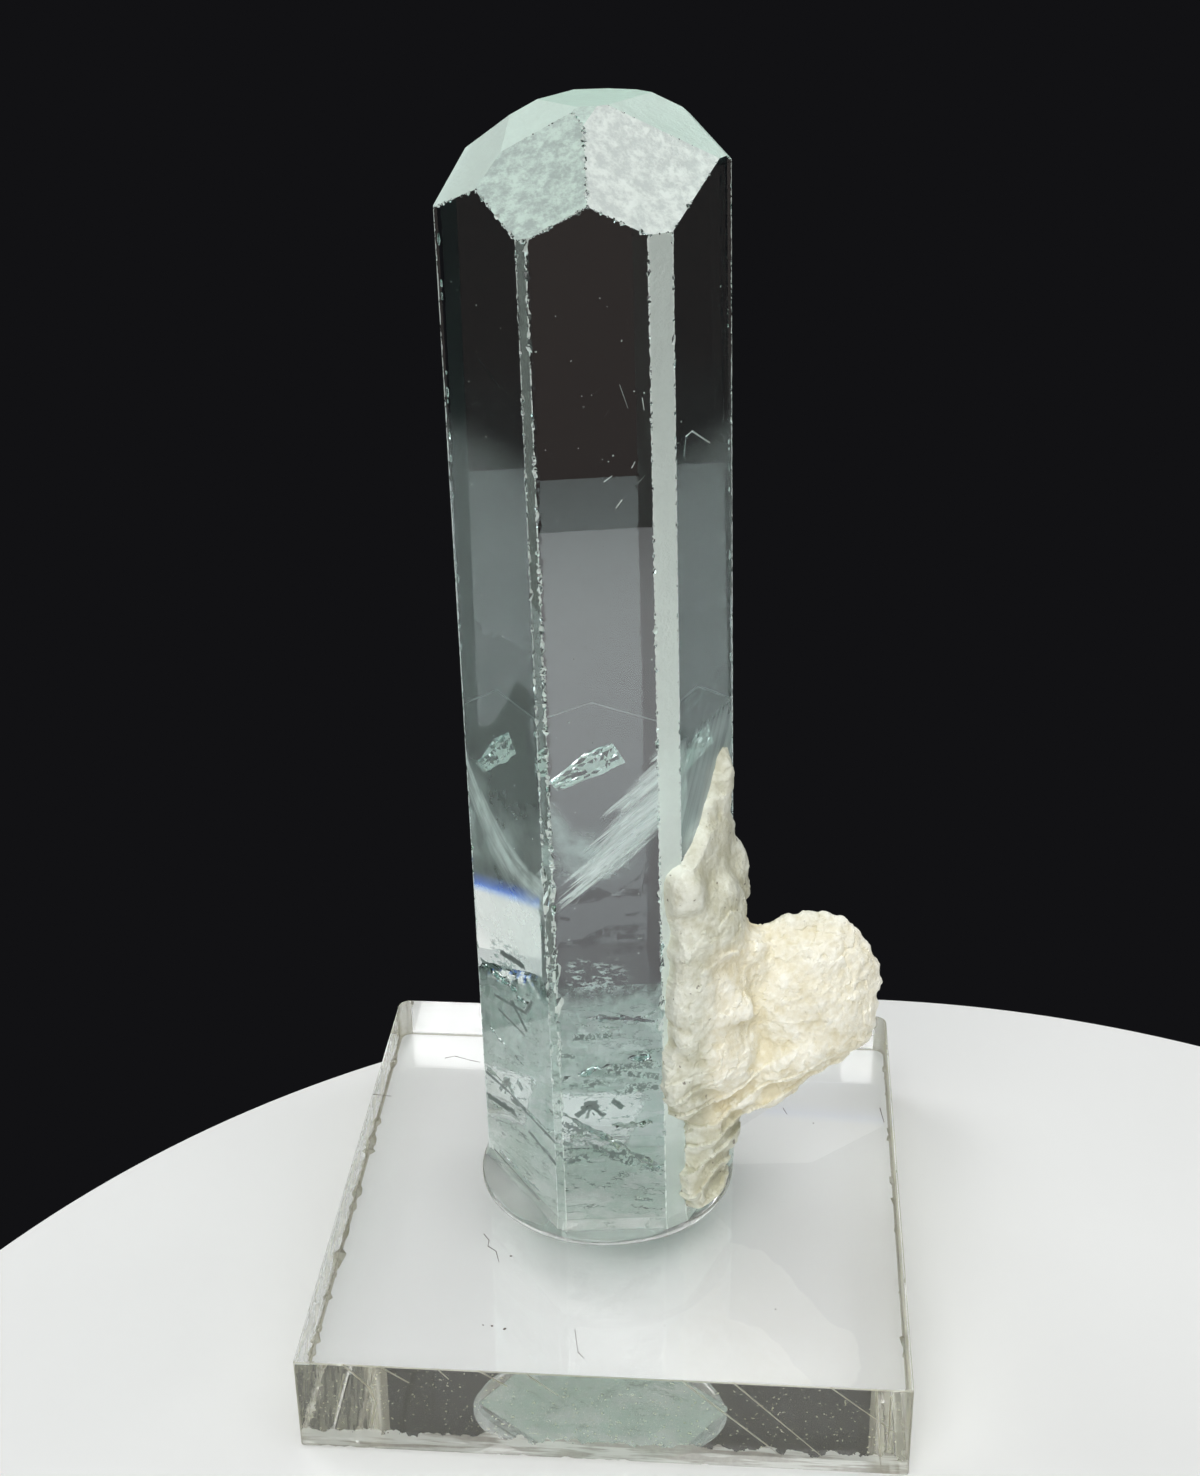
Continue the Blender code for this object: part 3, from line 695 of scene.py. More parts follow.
def addPocket(bm, cells, points, half, marks=None):
    # two thin layers over the cells, joined along the rim
    verts = {}
    corners = {(i + a, j + b) for i, j in cells for a in (0, 1) for b in (0, 1)}
    for i, j in sorted(corners):
        around = [(i - 1, j - 1) in cells, (i, j - 1) in cells, (i - 1, j) in cells, (i, j) in cells]
        if all(around):
            verts[i, j] = (bm.verts.new(points[i, j] + half), bm.verts.new(points[i, j] - half))
        else:
            rim = bm.verts.new(points[i, j])
            verts[i, j] = (rim, rim)
        if marks:
            layer, weight, strength = marks
            for vert in verts[i, j]:
                vert[layer] = weight[i, j] * strength
    for i, j in sorted(cells):
        pairs = [verts[i, j], verts[i + 1, j], verts[i + 1, j + 1], verts[i, j + 1]]
        if any(first is not second for first, second in pairs):
            upper = bm.faces.new([pair[0] for pair in reversed(pairs)])
            lower = bm.faces.new([pair[1] for pair in pairs])
            upper.smooth = (i + j) % 3 > 0
            lower.smooth = upper.smooth


# paleness is partly painted light: a per-face brightening of the frosted colour
wearAndPaintedLightNames = ("frost", "paleness", "mottle", "behind")


def markWearAndPaintedLight(piece, planes, firstCrack):
    # each face carries the frost, paleness and mottling of the crystal face it lies on, the paleness being
    # partly painted light; any other face is a chip or a crack
    values = crystalValues
    foot = values["footPoint"].z - values["footOverlap"]
    origin = values["footPoint"]
    turning = crystalFrame().to_3x3()
    back = turning @ faceNormal(180)
    rear = [back, turning @ faceNormal(120), turning @ faceNormal(240)]
    ring = [Vector(point) * mm for point in values["backBite"]]
    biteCentre = sum(ring, Vector()) / len(ring)
    rng = random.Random(12)
    wear = []
    for face in piece.data.polygons:
        if face.index >= firstCrack:
            wear.append((*values["crackFrost"], 0.0))
            continue
        found = values["chipFrost"] if rng.random() < values["chipShare"] else values["chipClear"]
        behind = 0.0
        own = face.center - origin
        if face.normal.z < -0.999 and abs(face.center.z - foot) < flushWithin:
            found = (0.0, 0.0, 0.0)
            behind = 1.0
        elif (face.center - biteCentre).length < values["biteReach"] and back.dot(own) > values["biteFrom"]:
            low = (face.center - biteCentre).dot(values["biteSide"]) < values["biteLow"]
            folded = biteFold(face.center) + 0.12 * rng.uniform(-1.0, 1.0) > 0.02
            found = values["biteFrosted"] if low or folded else values["biteClear"]
        elif back.dot(own) > values["hackleFrom"] and own.z < values["hackleTop"]:
            if abs(face.normal.dot(back)) > 0.15:
                found = values["hackleFrost"]
                behind = 1.0
        for normal, distance, given in planes:
            flush = abs(normal.dot(own) - distance) < flushWithin
            if flush and normal.dot(face.normal) > 0.9999:
                found = given
                behind = 1.0 if normal in rear else behind
        wear.append((*found, behind))
    for index, name in enumerate(wearAndPaintedLightNames):
        layer = piece.data.attributes.new(name, "FLOAT", "FACE")
        layer.data.foreach_set("value", [entry[index] for entry in wear])


veilAndPaintedGlintValues = {
    # on the back face: a soft mist, a plume beside it and a fine bent line
    "backDepth": 7.7 * mm,
    "mistGrain": (420.0, 4.0, 0.6, 0.30, 0.66),
    "mistHeights": (25.2 * mm, 26.6 * mm, 28.2 * mm, 29.6 * mm),
    "mistRight": (-2.2 * mm, 0.8 * mm),
    "mist": 0.95,
    "plumeAcross": (0.908, 0.0, 0.419),
    "plumeAt": (-5.8 * 0.908 + 31.5 * 0.419) * mm,
    "plumeReach": (0.1 * mm, 1.2 * mm),
    "plumeHeights": (25.6 * mm, 26.6 * mm, 29.8 * mm, 32.4 * mm),
    "plume": 0.95,
    "bentPeak": (-2.5 * mm, 37.45 * mm),
    "bentSlope": 0.33,
    "bentReach": (0.03 * mm, 0.07 * mm),
    "bentLine": 0.34,
    # painted glints: white patches where the clouded part ends
    "paintedGlintGrain": (1700.0, 4.0, 0.65, 0.50, 0.60),
    "paintedGlintHeights": (17.6 * mm, 18.4 * mm, 19.6 * mm, 20.8 * mm),
    "paintedGlintSides": (-4.6 * mm, -3.9 * mm, -2.4 * mm, 0.6 * mm),
    # the right face's streaks: slant in degrees, heights and strength, and the film under them
    "sideSlant": 58.0,
    "sideGrain": (900.0, 4.0, 0.5, 0.34, 0.66),
    "sideSpan": (30.0 * mm, 33.0 * mm, 37.0 * mm, 40.5 * mm),
    "side": 0.6,
    "sideHaze": 0.2,
    # haze on the left face: heights of its patchy part and of its thin part, and their strengths
    "patchGrain": (300.0, 4.0, 0.6, 0.30, 0.68),
    "hazeHeights": (22.0 * mm, 24.5 * mm, 33.5 * mm, 38.5 * mm),
    "haze": 0.32,
    "thinHeights": (22.0 * mm, 24.5 * mm, 53.0 * mm, 56.5 * mm),
    "thinHaze": 0.24,
    # film on the left face's clouded lower part: its left end, slope and upper limit
    "footFilmLeft": -8.8 * mm,
    "footFilmHeights": (19.4 * mm, 20.8 * mm),
    "footFilmSlope": 0.43,
    "footFilm": 0.16,
    # wisps under a bent line on the left face: its lowest height, where it turns up, and their strength
    "wispHeight": 30.7 * mm,
    "wispTurn": -4.6 * mm,
    "wispBend": 220.0,
    "wispDepths": (-0.5 * mm, 0.6 * mm, 1.2 * mm, 5.2 * mm),
    "wispGrain": (1300.0, 4.0, 0.6, 0.36, 0.64),
    "wispPatches": (420.0, 3.0, 0.5, 0.36, 0.60),
    "wisps": 0.97,
}


def depthOf(finish, place, turn):
    # 0 on an upright face and below 0 under it
    values = crystalValues
    normal = crystalFrame().to_3x3() @ faceNormal(turn)
    reach = values["uprights"][turn]
    return finish.along(place, tuple(normal)) - (normal.dot(values["footPoint"]) + reach)


def onUprightFace(finish, place, turn):
    return depthOf(finish, place, turn).above(-0.01 * mm)


def backVeilsAndPaintedGlints(finish, place):
    # mist, plume, bent line and painted glints on the back face
    values = veilAndPaintedGlintValues
    x, y, z = finish.parts(place)
    cloud = finish.grain(finish.join(x, y, z * 1.6), values["mistGrain"])
    mist = z.within(*values["mistHeights"]) * (1 - x.fade(*values["mistRight"])) * cloud * values["mist"]
    plume = (finish.along(place, values["plumeAcross"]) - values["plumeAt"]).ridge(*values["plumeReach"])
    plume = plume * z.within(*values["plumeHeights"]) * (cloud * 0.5 + 0.5) * values["plume"]
    peakX, peakZ = values["bentPeak"]
    bend = z + values["bentSlope"] * (x - peakX).size() - peakZ
    line = bend.ridge(*values["bentReach"]) * values["bentLine"]
    # painted glints: white sparkle patches
    paintedGlint = finish.grain(finish.join(x, y, z * 2.2), values["paintedGlintGrain"])
    paintedGlint = paintedGlint * z.within(*values["paintedGlintHeights"]) * x.within(*values["paintedGlintSides"])
    return y.above(values["backDepth"]) * mist.atLeast(plume).atLeast(line).atLeast(paintedGlint)


def sideVeils(finish, place):
    # pale streaks on the right face
    values = veilAndPaintedGlintValues
    x, y, z = finish.parts(place)
    angle = math.radians(values["sideSlant"])
    along = y * math.cos(angle) + z * math.sin(angle)
    across = z * math.cos(angle) - y * math.sin(angle)
    strands = finish.grain(finish.join(along * 0.1, across * 1.8, x * 0.2), values["sideGrain"])
    film = z.within(*values["thinHeights"]) * values["sideHaze"]
    streaks = z.within(*values["sideSpan"]) * (strands * 0.4 + 0.5) * values["side"]
    return onUprightFace(finish, place, 60) * streaks.atLeast(film)


def leftHaze(finish, place):
    # dull film on the left face, patchy below and thin above, and the wisps that cross it
    values = veilAndPaintedGlintValues
    x, _, z = finish.parts(place)
    patches = finish.grain(place, values["patchGrain"]) * 0.5 + 0.6
    haze = z.within(*values["hazeHeights"]) * patches * values["haze"]
    haze = haze.atLeast(z.within(*values["thinHeights"]) * values["thinHaze"])
    bend = (values["wispTurn"] - x).atLeast(0.0)
    under = bend * bend * values["wispBend"] + values["wispHeight"] - z
    strands = finish.grain(finish.join(x * 0.3, under, 0.0), values["wispGrain"])
    broad = finish.grain(place, values["wispPatches"])
    wisps = under.within(*values["wispDepths"]) * (strands * 0.45 + 0.55) * (broad * 0.45 + 0.55)
    rise = z - (x - values["footFilmLeft"]) * values["footFilmSlope"] + (patches - 0.8) * mm
    foot = (1 - rise.fade(*values["footFilmHeights"])) * (patches * 0.6 + 0.4) * values["footFilm"]
    return onUprightFace(finish, place, 300) * haze.atLeast(wisps * values["wisps"]).atLeast(foot)


cloudAndCrackShadeValues = {
    # the clouded lower part: where it ends above, and how strongly the rear faces and foot are clouded
    "top": (17.0 * mm, 18.4 * mm),
    "raggedness": 5.0 * mm,
    "strength": 0.82,
    "footStrength": 0.1,
    # where the foot ends and where the back face starts
    "footTop": 6.4 * mm,
    "backFrom": 7.0 * mm,
    # a clear window in the back face: heights, right limit at the top, how fast it narrows and its rim
    "window": (6.5 * mm, 10.3 * mm),
    "windowRight": 0.3 * mm,
    "windowNarrows": 0.35,
    "windowRagged": 1.6 * mm,
    "windowSoft": (0.2 * mm, 0.3 * mm, 0.5 * mm),
    # how far the dark crack lines of painted shade wander, the net that fills them, and the fine squiggles
    # between them
    "crackShadeWarp": 2.4 * mm,
    "crackShadeGrain": (2600.0, 3.0, 0.6, 0.50, 0.56),
    "netReach": (0.016, 0.05),
    "squiggleReach": (0.005, 0.016),
    "squigglePatches": (0.44, 0.52),
    "squiggle": 0.85,
    # dark splinter in that window, painted shade, as x, z in mm: start, end, width
    "splinter": [
        ((-3.0, 9.6), (-2.8, 9.6), 0.40), ((-3.1, 9.4), (-3.7, 8.9), 0.15), ((-2.7, 9.4), (-2.1, 8.9), 0.15),
        ((-2.95, 9.3), (-3.1, 8.7), 0.10), ((-1.35, 9.8), (-0.95, 9.45), 0.2),
    ],
    # dark crack lines of painted shade on the foot as x, y and on the left and front faces as x, z, in mm:
    # start, end, width
    "footCrackShade": [
        ((-5.6, 8.9), (-2.4, 7.6), 1.5), ((-2.6, 7.8), (1.2, 5.0), 1.3), ((1.0, 5.2), (3.8, 2.9), 1.0),
        ((-6.5, 4.4), (-3.6, 0.2), 0.22), ((-5.2, 5.6), (-1.6, 1.0), 0.16),
        ((-1.5, 2.0), (2.8, 1.0), 0.14), ((-4.4, -1.4), (-1.2, -2.2), 0.16),
        ((0.6, -1.8), (2.4, -2.6), 0.3), ((-4.6, 5.9), (-2.6, 5.5), 0.3),
    ],
    "leftCrackShade": [
        ((-7.7, 19.5), (-5.5, 20.3), 0.14), ((-5.5, 20.3), (-5.0, 21.5), 0.12),
        ((-7.4, 18.7), (-5.7, 18.6), 0.12), ((-6.4, 20.1), (-5.5, 19.1), 0.2),
        ((-8.6, 12.9), (-6.9, 13.1), 0.15), ((-6.9, 13.1), (-5.8, 12.9), 0.17),
        ((-5.8, 12.9), (-3.6, 12.8), 0.14), ((-8.5, 11.2), (-6.7, 11.9), 0.3),
        ((-5.4, 11.6), (-3.5, 11.2), 0.17), ((-8.2, 7.3), (-4.9, 7.1), 0.1),
        ((-7.1, 23.1), (-5.6, 23.5), 0.3), ((-8.6, 21.2), (-7.3, 21.6), 0.16),
        ((-6.7, 12.7), (-5.8, 13.0), 0.22),
    ],
    "frontCrackShade": [
        ((-2.2, 21.2), (0.2, 20.9), 0.08), ((1.3, 21.3), (2.4, 22.0), 0.09),
        ((-2.2, 20.3), (-0.3, 20.4), 0.3), ((-3.1, 19.1), (-2.4, 19.0), 0.2),
        ((0.2, 18.2), (2.5, 18.3), 0.3), ((-0.4, 17.9), (2.4, 17.5), 0.28),
        ((-1.5, 17.1), (-0.9, 17.2), 0.3), ((0.3, 16.4), (2.4, 16.7), 0.26),
        ((0.9, 16.8), (2.0, 16.9), 0.26), ((-2.6, 17.0), (-1.3, 16.9), 0.12),
        ((-3.3, 14.1), (-2.0, 13.8), 0.5), ((-2.1, 13.1), (-0.2, 12.0), 0.26),
        ((-2.0, 13.6), (0.0, 12.6), 0.12), ((-0.2, 12.0), (1.0, 11.4), 0.4),
        ((0.2, 12.2), (1.6, 11.7), 0.28), ((1.0, 11.4), (2.7, 10.5), 0.15),
        ((-3.3, 13.0), (-2.7, 12.8), 0.2), ((-3.1, 11.6), (-1.9, 11.8), 0.36),
        ((1.3, 8.7), (2.1, 8.6), 0.2), ((1.5, 19.2), (3.1, 19.3), 0.16),
        ((3.3, 21.6), (4.0, 22.3), 0.12),
    ],
}


def crackShadeLines(lines, u, v, ragged):
    # painted shade: dark where a point lies within a ragged width of any of the lines
    dark = None
    for (startU, startV), (endU, endV), width in lines:
        length = math.hypot(endU - startU, endV - startV) * mm
        runU, runV = (endU - startU) * mm / length, (endV - startV) * mm / length
        fromU = u - startU * mm
        fromV = v - startV * mm
        inRun = fromU * runU + fromV * runV
        beyond = (inRun - length / 2).size() - length / 2
        off = (fromV * runU - fromU * runV).size().atLeast(beyond)
        line = 1 - (off - ragged * width * mm).fade(-0.06 * mm, 0.06 * mm)
        dark = line if dark is None else dark.atLeast(line)
    return dark


def lowerCloudAndCrackShade(finish, place, behind):
    # mottled frost on the foot and the rear faces, and the dark crack lines of painted shade that run
    # through it
    values = cloudAndCrackShadeValues
    x, y, z = finish.parts(place)
    broad = finish.noise(place, 450.0, 4.0, 0.6)
    fine = finish.noise(place, 1500.0, 5.0, 0.65)
    low = 1 - (z + (broad - 0.5) * values["raggedness"]).fade(*values["top"])
    onFoot = 1 - z.above(values["footTop"])
    atBack = y.above(values["backFrom"])

    bottom, top = values["window"]
    ragged = (fine - 0.5) * values["windowRagged"]
    right = x + ragged - values["windowRight"] - (z - top) * values["windowNarrows"]
    softBelow, softAbove, softRight = values["windowSoft"]
    window = (z + ragged * 0.5).fade(bottom, bottom + softBelow)
    window = window * (1 - (z + ragged).fade(top, top + softAbove))
    window = window * (1 - right.fade(0.0, softRight)) * atBack

    jag = fine * 2.6 - 0.9
    warp = (broad - 0.5) * values["crackShadeWarp"]
    foot = crackShadeLines(values["footCrackShade"], x + warp, y + warp, jag) * onFoot
    front = crackShadeLines(values["frontCrackShade"], x, z, jag + 0.3) * onUprightFace(finish, place, 0)
    net = (finish.noise(place, 1500.0, 4.0, 0.6) - 0.5).ridge(*values["netReach"])
    scribble = net.atLeast(finish.grain(place, values["crackShadeGrain"]))
    splinter = crackShadeLines(values["splinter"], x, z, fine * 2.6 - 0.35) * atBack * (1 - onFoot)
    left = crackShadeLines(values["leftCrackShade"], x, z, fine * 1.8 - 0.3)
    left = left * onUprightFace(finish, place, 300)
    warped = finish.noise(finish.join(x * 0.45, y * 0.45, z * 1.5), 800.0, 4.0, 0.6)
    squiggle = (warped - 0.5).ridge(*values["squiggleReach"])
    squiggle = squiggle * low * broad.fade(*values["squigglePatches"]) * values["squiggle"]
    # painted shade along the cracks, squiggles and splinter
    paintedCrackShade = behind * (foot * scribble).atLeast(squiggle).atLeast(splinter)

    cloud = low * (1 - window) * (values["strength"] + onFoot * values["footStrength"])
    depth = warped.fade(0.42, 0.58) * 0.6 + fine.fade(0.36, 0.64) * 0.4
    return behind * cloud, paintedCrackShade.atLeast(left).atLeast(front * scribble), depth


def edgeWear(finish, place):
    # white ragged lines along the upright edges
    ragged = finish.grain(place, crystalValues["edgeGrain"])
    depths = {}
    worn = None
    for turnA, turnB, width in crystalValues["wornEdges"]:
        for turn in (turnA, turnB):
            if turn not in depths:
                depths[turn] = depthOf(finish, place, turn)
        reach = ragged * (width * mm)
        line = (depths[turnA] + reach).above(0.0) * (depths[turnB] + reach).above(0.0)
        worn = line if worn is None else worn.atLeast(line)
    return worn * 0.9


def aquamarineFinish():
    values = crystalValues
    finish = Finish("aquamarine")
    place = finish.place()
    height = finish.parts(place)[2]
    frost, paleness, mottle, behind = [finish.attribute(name) for name in wearAndPaintedLightNames]
    blotch = finish.noise(place, 1400.0, 3.0, 0.6) * 0.6 + finish.noise(place, 4500.0, 4.0, 0.7) * 0.4
    blotch = blotch.fade(0.38, 0.62)
    edges = edgeWear(finish, place)
    veilsAndPaintedGlints = backVeilsAndPaintedGlints(finish, place).atLeast(sideVeils(finish, place)).atLeast(leftHaze(finish, place))
    cloud, paintedCrackShade, depth = lowerCloudAndCrackShade(finish, place, behind)

    # painted light: faces with more paleness are painted paler; the worn edges are truly pale
    mint = finish.blend(paleness.atLeast(edges), values["mint"], values["pale"])
    shade = finish.blend(mottle * (1 - blotch) * 0.6, mint, values["mottled"])
    shade = finish.blend(veilsAndPaintedGlints.above(0.01), shade, values["veil"])
    # cracks darkened with painted shade
    shade = finish.blend(paintedCrackShade, shade, values["crackShade"])
    cloudy = finish.blend(depth, values["cloudDeep"], values["cloudPale"])

    bump = finish.bump(0.35, 0.1 * mm, blotch)
    clear = finish.clear(values["refraction"])
    frosted = finish.shader(Base_Color=shade, Roughness=0.45, IOR=values["refraction"],
                            Transmission_Weight=0.25, Normal=bump)
    milky = finish.mixShaders(0.5, frosted, finish.translucent(shade))
    hazy = finish.shader(Base_Color=cloudy, Roughness=0.6, IOR=values["refraction"],
                         Transmission_Weight=0.35, Normal=bump)
    hazy = finish.mixShaders(0.55, hazy, finish.translucent(cloudy))

    thinned = (1 - height.fade(*values["clearBevel"])) * values["clearShare"]
    thinned = thinned.atLeast(height.fade(*values["dimBevel"]) * values["dimShare"])
    thinned = thinned * onUprightFace(finish, place, 30)
    cover = (frost * (1 - thinned)).atLeast(edges).atLeast(paintedCrackShade * 0.9)
    under = finish.mixShaders(cloud.clamped(), clear, hazy)
    under = finish.mixShaders(veilsAndPaintedGlints.clamped(), under, milky)
    finish.surface(finish.mixShaders(cover.clamped(), under, frosted))
    finish.absorb(values["tint"], values["tintDensity"])
    return finish


def makeCrystal():
    top = crystalValues["footPoint"].z
    planes = crystalPlanes()
    bm = crystalBody(top - crystalValues["footOverlap"])
    crystal = pieceFrom("aquamarinePrism", bm, aquamarineFinish())
    rng = random.Random(3)
    chips = bmesh.new()
    addEdgeChips(chips, rng)
    addEndChips(chips, rng)
    addFaceMarks(chips, rng)
    addBackBite(chips)
    addSplinter(chips, rng)
    cutAway(crystal, pieceFrom("hackle", hackleCutter(), None))
    cutAway(crystal, pieceFrom("crystalChips", chips, None), True)
    bm = bmesh.new()
    bm.from_mesh(crystal.data)
    firstCrack = len(bm.faces)
    for seed, sheet in enumerate(crackValues["sheets"]):
        addCrack(bm, planes, sheet, seed + 1)
    bm.to_mesh(crystal.data)
    bm.free()
    markWearAndPaintedLight(crystal, planes, firstCrack)
    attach(crystal, "root")
    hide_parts("aquamarine_crystal")
    print("crystal made,", len(crystal.data.polygons), "faces")


milkyValues = {
    # the veil's plane, in world mm: a point of it, the way its streaks run and the way they stack
    "origin": Vector((0.16, -2.07, 33.85)) * mm,
    "run": Vector((0.703, -0.168, 0.691)).normalized(),
    "stack": Vector((-0.706, -0.054, 0.706)).normalized(),
    # its lower and upper edge as distances along and across, in mm
    "lowerEdge": [(-6.4, -2.1), (-4.2, -2.3), (-0.9, -2.45), (1.4, -2.1), (4.0, -3.2), (7.8, -2.4),
                  (10.8, -1.2)],
    "upperEdge": [(-6.4, -1.9), (-4.7, -0.9), (-2.2, -0.5), (0.7, 0.8), (3.0, 1.3), (5.0, 1.6), (7.0, 0.8),
                  (10.8, -0.4)],
    # the sheet's cells, half thickness and distance from the faces, its waviness in mm, and the waves' size
    "step": 0.12 * mm,
    "half": 0.012 * mm,
    "margin": 0.12 * mm,
    "waviness": 0.25,
    "waveSize": 3.0 * mm,
    # where the sheet starts along and across, in mm, and its length and height
    "start": (-6.4, -3.4),
    "extent": (17.2 * mm, 5.4 * mm),
    # fine blades: count, length, half width and thickness, and where they lie along and off the sheet, in mm
    "blades": (190, (0.6, 2.4), (0.025, 0.08), 0.012),
    "bladesAlong": (-5.8, 10.0),
    "bladesOff": 0.3,
    "bladeTilt": 0.05,
    "colour": (0.95, 1.0, 0.98, 1),
    "strandGrain": (1500.0, 4.0, 0.6, 0.36, 0.60),
    "broadGrain": (500.0, 3.0, 0.5, 0.34, 0.58),
    "sheet": 0.95,
    "blade": 0.9,
}


def edgeAt(line, along):
    # height of a bent line at a distance along it
    for (startX, startY), (endX, endY) in zip(line[:-1], line[1:]):
        if along <= endX:
            return startY + (endY - startY) * (along - startX) / (endX - startX)
    return line[-1][1]


def milkyDensity(along, across):
    # 0 outside the veil; sharp along its lower edge and soft along its upper one
    lower = edgeAt(milkyValues["lowerEdge"], along)
    upper = edgeAt(milkyValues["upperEdge"], along)
    rag = noise.noise(Vector((along * 0.25, across * 3.0, 2.0)))
    below = (across - lower + 0.25 * rag) / 0.2
    above = (upper - across + 0.5 * rag) / 0.9
    ends = min((along + 6.0 + 2.4 * rag) / 2.2, (10.6 - along) / 1.5)
    return limited(min(below, above, ends))


def milkyFinish():
    values = milkyValues
    finish = Finish("milkyStreaks")
    place = finish.place()
    along = finish.along(place, tuple(values["run"]))
    across = finish.along(place, tuple(values["stack"]))
    strands = finish.grain(finish.join(along * 0.06, across, 0.0), values["strandGrain"])
    broad = finish.grain(finish.join(along * 0.12, across, 0.0), values["broadGrain"])
    alpha = finish.attribute("milkiness") * (strands * 0.6 + broad * 0.4)
    finish.surface(finish.shader(Base_Color=values["colour"], Roughness=0.6, Alpha=alpha.clamped()))
    return finish


def makeMilkyVeil():
    # a thin sheet that fades out upwards, and fine blades lying in it
    values = milkyValues
    planes = crystalPlanes()
    run, stack = values["run"], values["stack"]
    facing = run.cross(stack).normalized()
    rng = random.Random(21)
    bm = bmesh.new()
    layer = bm.verts.layers.float.new("milkiness")
    points = {}
    weight = {}
    columns, rows = [range(int(size / values["step"]) + 1) for size in values["extent"]]
    startAlong, startAcross = values["start"]
    for i in columns:
        for j in rows:
            along = i * values["step"] / mm + startAlong
            across = j * values["step"] / mm + startAcross
            point = values["origin"] + (run * along + stack * across) * mm
            wave = noise.noise(point / values["waveSize"])
            points[i, j] = point + facing * values["waviness"] * mm * wave
            out, _ = outsideBy(points[i, j], planes)
            weight[i, j] = milkyDensity(along, across) if out < -values["margin"] else 0.0
    cells = {(i, j) for i in columns[:-1] for j in rows[:-1]
             if min(weight[i, j], weight[i + 1, j], weight[i, j + 1], weight[i + 1, j + 1]) > 0.0}
    addPocket(bm, cells, points, facing * values["half"], (layer, weight, values["sheet"]))
    count, lengths, widths, thickness = values["blades"]
    off = values["bladesOff"]
    for _ in range(count):
        along = rng.uniform(*values["bladesAlong"])
        lower = edgeAt(values["lowerEdge"], along)
        upper = edgeAt(values["upperEdge"], along)
        across = lower + (upper - lower) * rng.random() ** 1.7
        centre = values["origin"] + (run * along + stack * across + facing * rng.uniform(-off, off)) * mm
        length = rng.uniform(*lengths)
        ends = [centre + run * length * side * mm for side in (-1.0, 1.0)]
        if max(outsideBy(end, planes)[0] for end in ends) > -values["margin"]:
            continue
        width = rng.uniform(*widths)
        tilt = rng.uniform(-values["bladeTilt"], values["bladeTilt"])
        axes = [run * length + stack * length * tilt, stack * width, facing * thickness]
        made = bmesh.ops.create_icosphere(bm, subdivisions=2, radius=1.0)
        for vert in made["verts"]:
            vert[layer] = values["blade"] * (1.0 - abs(vert.co.x) ** 2.0)
            vert.co = centre + sum((axis * part for axis, part in zip(axes, vert.co)), Vector()) * mm
    bmesh.ops.recalc_face_normals(bm, faces=bm.faces)
    veil = pieceFrom("milkyVeil", bm, milkyFinish())
    veil.visible_glossy = False
    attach(veil, "root")
    print("milky veil made,", len(veil.data.polygons), "faces")


glueValues = {
    "centre": Vector((-1.0 * mm, 0.65 * mm, 0.0)),
    "radius": 8.05 * mm,
    "backRadius": 8.75 * mm,
    "height": 0.42 * mm,
    "climb": 0.5 * mm,
    "climbReach": 0.55 * mm,
    "rimWidth": 1.1 * mm,
    # height of the drop's vertical rim, and how wavy its outline and its top are
    "lip": 0.02 * mm,
    "outlineWave": 0.08 * mm,
    "topWave": 0.05 * mm,
    "waveSize": 1.1 * mm,
    # height over the block at which the climb is measured, and the share of the radius that stays flat
    "climbAt": 0.4 * mm,
    "middle": 0.35,
    "overlap": 0.03 * mm,
    "refraction": 1.5,
    "milk": (0.94, 0.97, 0.95, 1),
    "milkiness": 0.12,
    "turns": 160,
    "rings": 56,
}


def glueFinish():
    values = glueValues
    finish = Finish("setGlue")
    clear = finish.clear(values["refraction"], 0.01)
    finish.surface(finish.mixShaders(values["milkiness"], clear, finish.translucent(values["milk"])))
    return finish


def makeGlue():
    # a drop that climbs the crystal's faces and ends in a round rim
    values = glueValues
    top = crystalValues["footPoint"].z
    planes = crystalPlanes()
    bm = bmesh.new()
    rings = []
    for ring in range(values["rings"] + 1):
        share = values["middle"] + (1 - values["middle"]) * math.sin(math.pi / 2 * ring / values["rings"])
        line = []
        for turn in range(values["turns"]):
            angle = math.tau * turn / values["turns"]
            direction = Vector((math.cos(angle), math.sin(angle), 0.0))
            back = limited((direction.y - 0.3) / 0.5)
            reach = values["radius"] + (values["backRadius"] - values["radius"]) * back
            reach += values["outlineWave"] * noise.noise(direction * 1.8)
            point = values["centre"] + direction * reach * share
            point.z = top + values["climbAt"]
            out, _ = outsideBy(point, planes)
            climb = values["climb"] * math.exp(-max(0.0, out) / values["climbReach"])
            wave = values["topWave"] * noise.noise(point / values["waveSize"])
            fromRim = reach * (1.0 - share) / values["rimWidth"]
            swell = (1.0 - (1.0 - min(1.0, fromRim)) ** 2.0) ** 0.5
            point.z = top + (values["height"] + climb + wave) * swell
            line.append(bm.verts.new(point))
        rings.append(line)
    floorLine = []
    for vert in rings[-1]:
        floorLine.append(bm.verts.new((vert.co.x, vert.co.y, top - values["overlap"])))
        vert.co.z = top + values["lip"]
    rings.append(floorLine)
    for inner, outer in zip(rings[:-1], rings[1:]):
        for index in range(values["turns"]):
            after = (index + 1) % values["turns"]
            bm.faces.new((inner[index], outer[index], outer[after], inner[after]))
    bm.faces.new(rings[0])
    bm.faces.new(list(reversed(floorLine)))
    bmesh.ops.recalc_face_normals(bm, faces=bm.faces)
    glue = pieceFrom("glueDrop", bm, glueFinish())
    cutAway(glue, pieceFrom("glueSpace", crystalBody(0.0, -values["overlap"]), None))
    glue.data.shade_smooth()
    glue.data.set_sharp_from_angle(angle=math.radians(40))
    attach(glue, "root")
    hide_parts("glue_pad")
    print("glue made")


